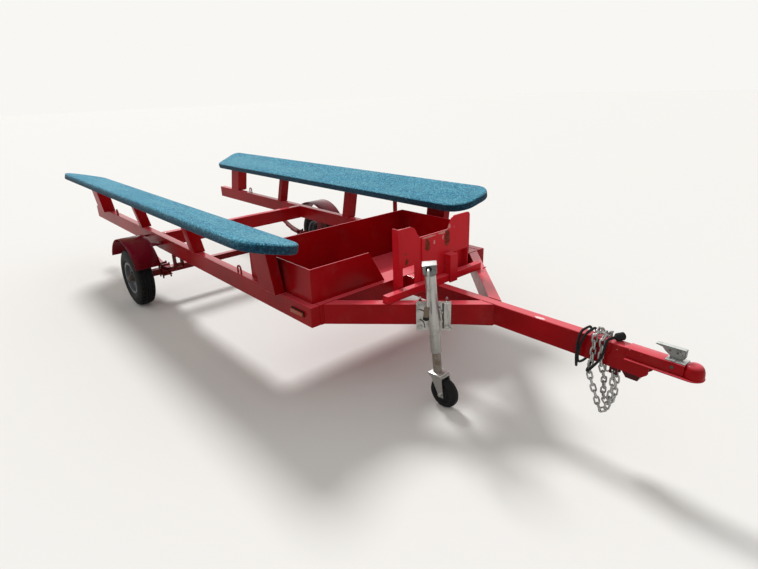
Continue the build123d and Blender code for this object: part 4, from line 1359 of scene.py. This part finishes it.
    def _boss(self) -> None:
        """Make the pivot heads on the coupler's sides."""
        forms = Forms()
        for side in (-1, 1):
            spot = Vector((RAIL_FRONT + 1.3365, side * 0.0285, 0.4800))
            forms.rod(spot, spot + Vector((0.0, side * 0.0020, 0.0)), 0.0068, 0.0060, 24, 0.0006)
            forms.rod(spot, spot + Vector((0.0, side * 0.0035, 0.0)), 0.0030, sides=12, edge=0.0006)
        self.shop.piece("coupler_pivot_heads", forms, self.shop.finishes.dark_steel, "dark_steel")


@dataclass
class SafetyChains(Assembly):
    """Two chains that hang from the lugs under the tongue and lie over its top.

    Attributes:
        near: Middle line of one chain, as x ahead of the rails, y and z.
        far: Middle line of the other.
        pitch: Distance from link to link.
        wire: Radius of the wire.
        wide: Half a link's width, to the middle of the wire.
    """

    near: Sequence[Point] = (
        (1.134, -0.014, 0.371), (1.140, -0.020, 0.331), (1.139, -0.025, 0.285), (1.137, -0.028, 0.226),
        (1.130, -0.029, 0.199), (1.116, -0.030, 0.187), (1.102, -0.030, 0.199), (1.094, -0.030, 0.226),
        (1.067, -0.036, 0.300), (1.050, -0.039, 0.345), (1.052, -0.038, 0.385), (1.055, -0.0375, 0.420),
        (1.056, -0.0375, 0.482), (1.054, -0.0385, 0.505), (1.052, -0.022, 0.517), (1.050, 0.0, 0.5085),
        (1.048, 0.022, 0.517), (1.050, 0.0385, 0.505), (1.054, 0.0375, 0.478), (1.058, 0.0375, 0.400),
        (1.062, 0.036, 0.330),
    )
    far: Sequence[Point] = (
        (1.134, 0.014, 0.371), (1.141, 0.012, 0.330), (1.142, 0.008, 0.252), (1.136, 0.006, 0.226),
        (1.121, 0.004, 0.213), (1.107, 0.001, 0.226), (1.102, -0.004, 0.252), (1.105, -0.016, 0.310),
        (1.107, -0.030, 0.352), (1.095, -0.0375, 0.388), (1.088, -0.0375, 0.420), (1.088, -0.0375, 0.482),
        (1.087, -0.0395, 0.505), (1.086, -0.022, 0.517), (1.084, 0.0, 0.5085), (1.083, 0.022, 0.517),
        (1.084, 0.0395, 0.505), (1.086, 0.0375, 0.478), (1.088, 0.0375, 0.400), (1.092, 0.036, 0.330),
    )
    pitch: float = 0.0275
    wire: float = 0.0039
    wide: float = 0.0092

    def build(self) -> None:
        """Make every link of both chains."""
        forms = Forms()
        for route in (self.near, self.far):
            joints = self._march([Vector((RAIL_FRONT + x, y, z)) for x, y, z in route])
            for count, (low, high) in enumerate(zip(joints, joints[1:])):
                way = (high - low).normalized()
                across = (Vector((1.0, 0.0, 0.0)) - way * way.x).normalized()
                roll = math.radians(90 * (count + 1) - min(45, 12 * count))
                flat = across * math.cos(roll) + way.cross(across) * math.sin(roll)
                forms.ring((low + high) / 2, way, flat, self.pitch / 2 + self.wire * 0.96, self.wide, self.wire)
        piece = self.shop.piece("chain_links", forms, self.shop.finishes.chain, "zinc", smooth=60.0)
        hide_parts("safety_chains")

    def _march(self, route: Sequence[Vector]) -> list[Vector]:
        """Walk along a line in steps of one pitch.

        Args:
            route: Corners of the line.

        Returns:
            The points of the steps.
        """
        spots = [route[0]]
        for low, high in zip(route, route[1:]):
            while (high - spots[-1]).length >= self.pitch:
                inside, outside = 0.0, 1.0
                for _ in range(24):
                    middle = (inside + outside) / 2
                    if (low.lerp(high, middle) - spots[-1]).length < self.pitch:
                        inside = middle
                    else:
                        outside = middle
                spots.append(low.lerp(high, outside))
                low = spots[-1]
        return spots


@dataclass
class LampLead(Assembly):
    """The lamps' black lead, wound round the tongue, with its plug on top.

    Attributes:
        route: Points of the lead, as x ahead of the rails, y and z. The plug starts at the last.
        thick: Diameter of the lead.
        length: Its length; not used.
    """

    route: Sequence[Point] = (
        (0.973, 0.0, RAIL_BOTTOM), (0.974, 0.0, 0.360), (0.998, -0.044, 0.346), (0.995, -0.056, 0.430),
        (0.996, -0.042, 0.508), (0.999, 0.002, 0.511), (1.001, 0.043, 0.508), (1.004, 0.054, 0.440),
        (1.004, 0.044, 0.372), (1.000, -0.001, 0.362), (0.999, -0.046, 0.376), (1.004, -0.056, 0.445),
        (1.019, -0.041, 0.508), (1.021, 0.003, 0.511), (1.022, 0.043, 0.508), (1.023, 0.054, 0.440),
        (1.023, 0.045, 0.374), (1.032, -0.004, 0.354), (1.045, -0.056, 0.352), (1.072, -0.068, 0.388),
        (1.102, -0.065, 0.438), (1.108, -0.059, 0.480), (1.106, -0.046, 0.509), (1.110, -0.028, 0.513),
        (1.117, -0.012, 0.513),
    )
    thick: float = 0.0105
    length: float = 1.16

    def build(self) -> None:
        """Make the lead and its plug."""
        spots = [Vector((RAIL_FRONT + x, y, z)) for x, y, z in self.route]
        plug = self._plug(spots[-1])
        data = bpy.data.curves.new("lamp_lead", "CURVE")
        data.dimensions = "3D"
        data.bevel_depth = self.thick / 2
        data.bevel_resolution = 3
        data.resolution_u = 8
        data.use_fill_caps = True
        line = data.splines.new("NURBS")
        line.points.add(len(spots) - 1)
        for point, spot in zip(line.points, spots):
            point.co = (*spot, 1.0)
        line.order_u = 3
        line.use_endpoint_u = True
        data.materials.append(self.shop.finishes.black)
        lead = bpy.data.objects.new("lamp_lead", data)
        bpy.context.collection.objects.link(lead)
        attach(lead, "frame")
        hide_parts("wiring_lead")
        log.info("lamp_lead: %d points on frame", len(spots))

    def _plug(self, start: Vector) -> bpy.types.Object:
        """Make the round plug with its grip rings and its face.

        Args:
            start: The lead's end.

        Returns:
            The plug's object.
        """
        way, up = Vector((0.008, 0.016, 0.0)).normalized(), Vector((0.0, 0.0, 1.0))
        forms = Forms()
        body = (
            (0.0, 0.0), (0.0, 0.0055), (0.006, 0.0065), (0.010, 0.0088), (0.0108, 0.0125), (0.014, 0.0150),
            (0.0155, 0.0158), (0.0165, 0.0150), (0.019, 0.0150), (0.0205, 0.0160), (0.0220, 0.0150),
            (0.0245, 0.0150), (0.026, 0.0162), (0.0275, 0.0154), (0.036, 0.0158), (0.0415, 0.0162),
            (0.0435, 0.0150), (0.0435, 0.0128), (0.0395, 0.0122), (0.0395, 0.0),
        )
        forms.lathe(body, start, way, 40)
        for turn in range(4):
            angle = turn * math.pi / 2 + 0.785
            pin = (up * math.cos(angle) + way.cross(up) * math.sin(angle)) * 0.0062
            forms.rod(start + way * 0.039 + pin, start + way * 0.0432 + pin, 0.0021, sides=12, edge=0.0004)
        piece = self.shop.piece("lamp_plug", forms, self.shop.finishes.black, "black_rubber")
        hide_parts("wiring_plug")
        return piece


@dataclass
class Markers(Assembly):
    """Amber marker lamps: dark housings with ribbed lenses.

    Attributes:
        rear: x of the housings' rear ends.
        front: x of their front ends.
        low: Height of their lower rims.
        high: Height of their upper rims.
        rim: Width of the housing round the lens.
    """

    rear: float = RAIL_FRONT - 0.162
    front: float = RAIL_FRONT - 0.053
    low: float = 0.434
    high: float = 0.462
    rim: float = 0.0035

    def build(self) -> None:
        """Make both markers."""
        lenses, housings = Forms(), Forms()
        low, high, rim = self.low, self.high, self.rim
        for side in (-1, 1):
            skin = side * FRAME_HALF
            near, far = sorted((skin, skin + side * 0.005))
            housings.block((self.rear, near, low), (self.front, far, high), 0.002)
            near, far = sorted((skin + side * 0.0045, skin + side * 0.014))
            lenses.block((self.rear + 0.004, near, low + rim), (self.front - 0.004, far, high - rim), 0.003)
        piece = self.shop.piece("marker_lenses", lenses, self.shop.finishes.lens, "amber_lens")
        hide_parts("side_markers")
        self.shop.piece("marker_housings", housings, self.shop.finishes.black, "black_rubber")


@dataclass
class Welds(Assembly):
    """Weld beads where tubes and sheets meet, and the cap of the cross tube.

    Attributes:
        size: Half the width of the larger beads.
    """

    size: float = 0.0034

    def build(self) -> None:
        """Lay every bead and close the cross tube's near end."""
        forms = Forms()
        inner = FRAME_HALF - 0.051
        low, high, front, thin = RAIL_BOTTOM + 0.004, RAIL_TOP - 0.004, RAIL_FRONT, self.size * 0.8
        for side in (-1, 1):
            uprights = [(front - back, side * inner) for back in (0.12, 1.93, 1.981)]
            for x, y in (*uprights, (front, side * 0.573), (front + 0.576, side * 0.0257)):
                forms.bead((x, y, low), (x, y, high), self.size)
            forms.bead((front, side * 0.500, RAIL_TOP), (front, side * 0.571, RAIL_TOP), thin)
            forms.bead((front + 0.504, side * 0.0265, RAIL_TOP), (front + 0.572, side * 0.0265, RAIL_TOP), thin)
            for x in (front + 0.19, front + 0.228):
                forms.bead((x, side * 0.335, RAIL_TOP + 0.001), (x, side * 0.366, RAIL_TOP + 0.001), self.size)
        for x, y in ((TRAY_REAR, -0.609), (TRAY_FRONT, -0.603), (TRAY_REAR, 0.534), (TRAY_FRONT, 0.534)):
            forms.bead((x, y, RAIL_TOP + 0.003), (x, y, TRAY_TOP), thin)
        self.shop.piece("weld_beads", forms, self.shop.finishes.paint, "red_paint")
        cap = Forms()
        cap.block((front + 0.1905, -0.366, RAIL_TOP + 0.0005), (front + 0.2275, -0.363, RAIL_TOP + 0.0375), 0.0008)
        self.shop.piece("cross_tube_cap", cap, self.shop.finishes.reflected_light_paint, "red_paint")


def main() -> None:
    """Build the whole scene in order."""
    Viewpoint().make()
    Studio().make()
    finishes = Finishes()
    shop = Shop(finishes)
    LampLead(shop).build()
    shop.dress_cad()
    Bunk(shop, Side.RIGHT, (0.545, 0.750), (0.878, 0.842), RAIL_FRONT - 3.485, 0.19).build()
    Bunk(shop, Side.LEFT, (0.545, 0.750), (0.884, 0.820), RAIL_FRONT - 3.5912, 0.06).build()
    for side in (Side.RIGHT, Side.LEFT):
        RoadWheel(shop, side).build()
    for assembly in (Jack(shop, JackFrame()), Coupler(shop), SafetyChains(shop), Markers(shop), Welds(shop)):
        assembly.build()


if __name__ == "__main__":
    main()
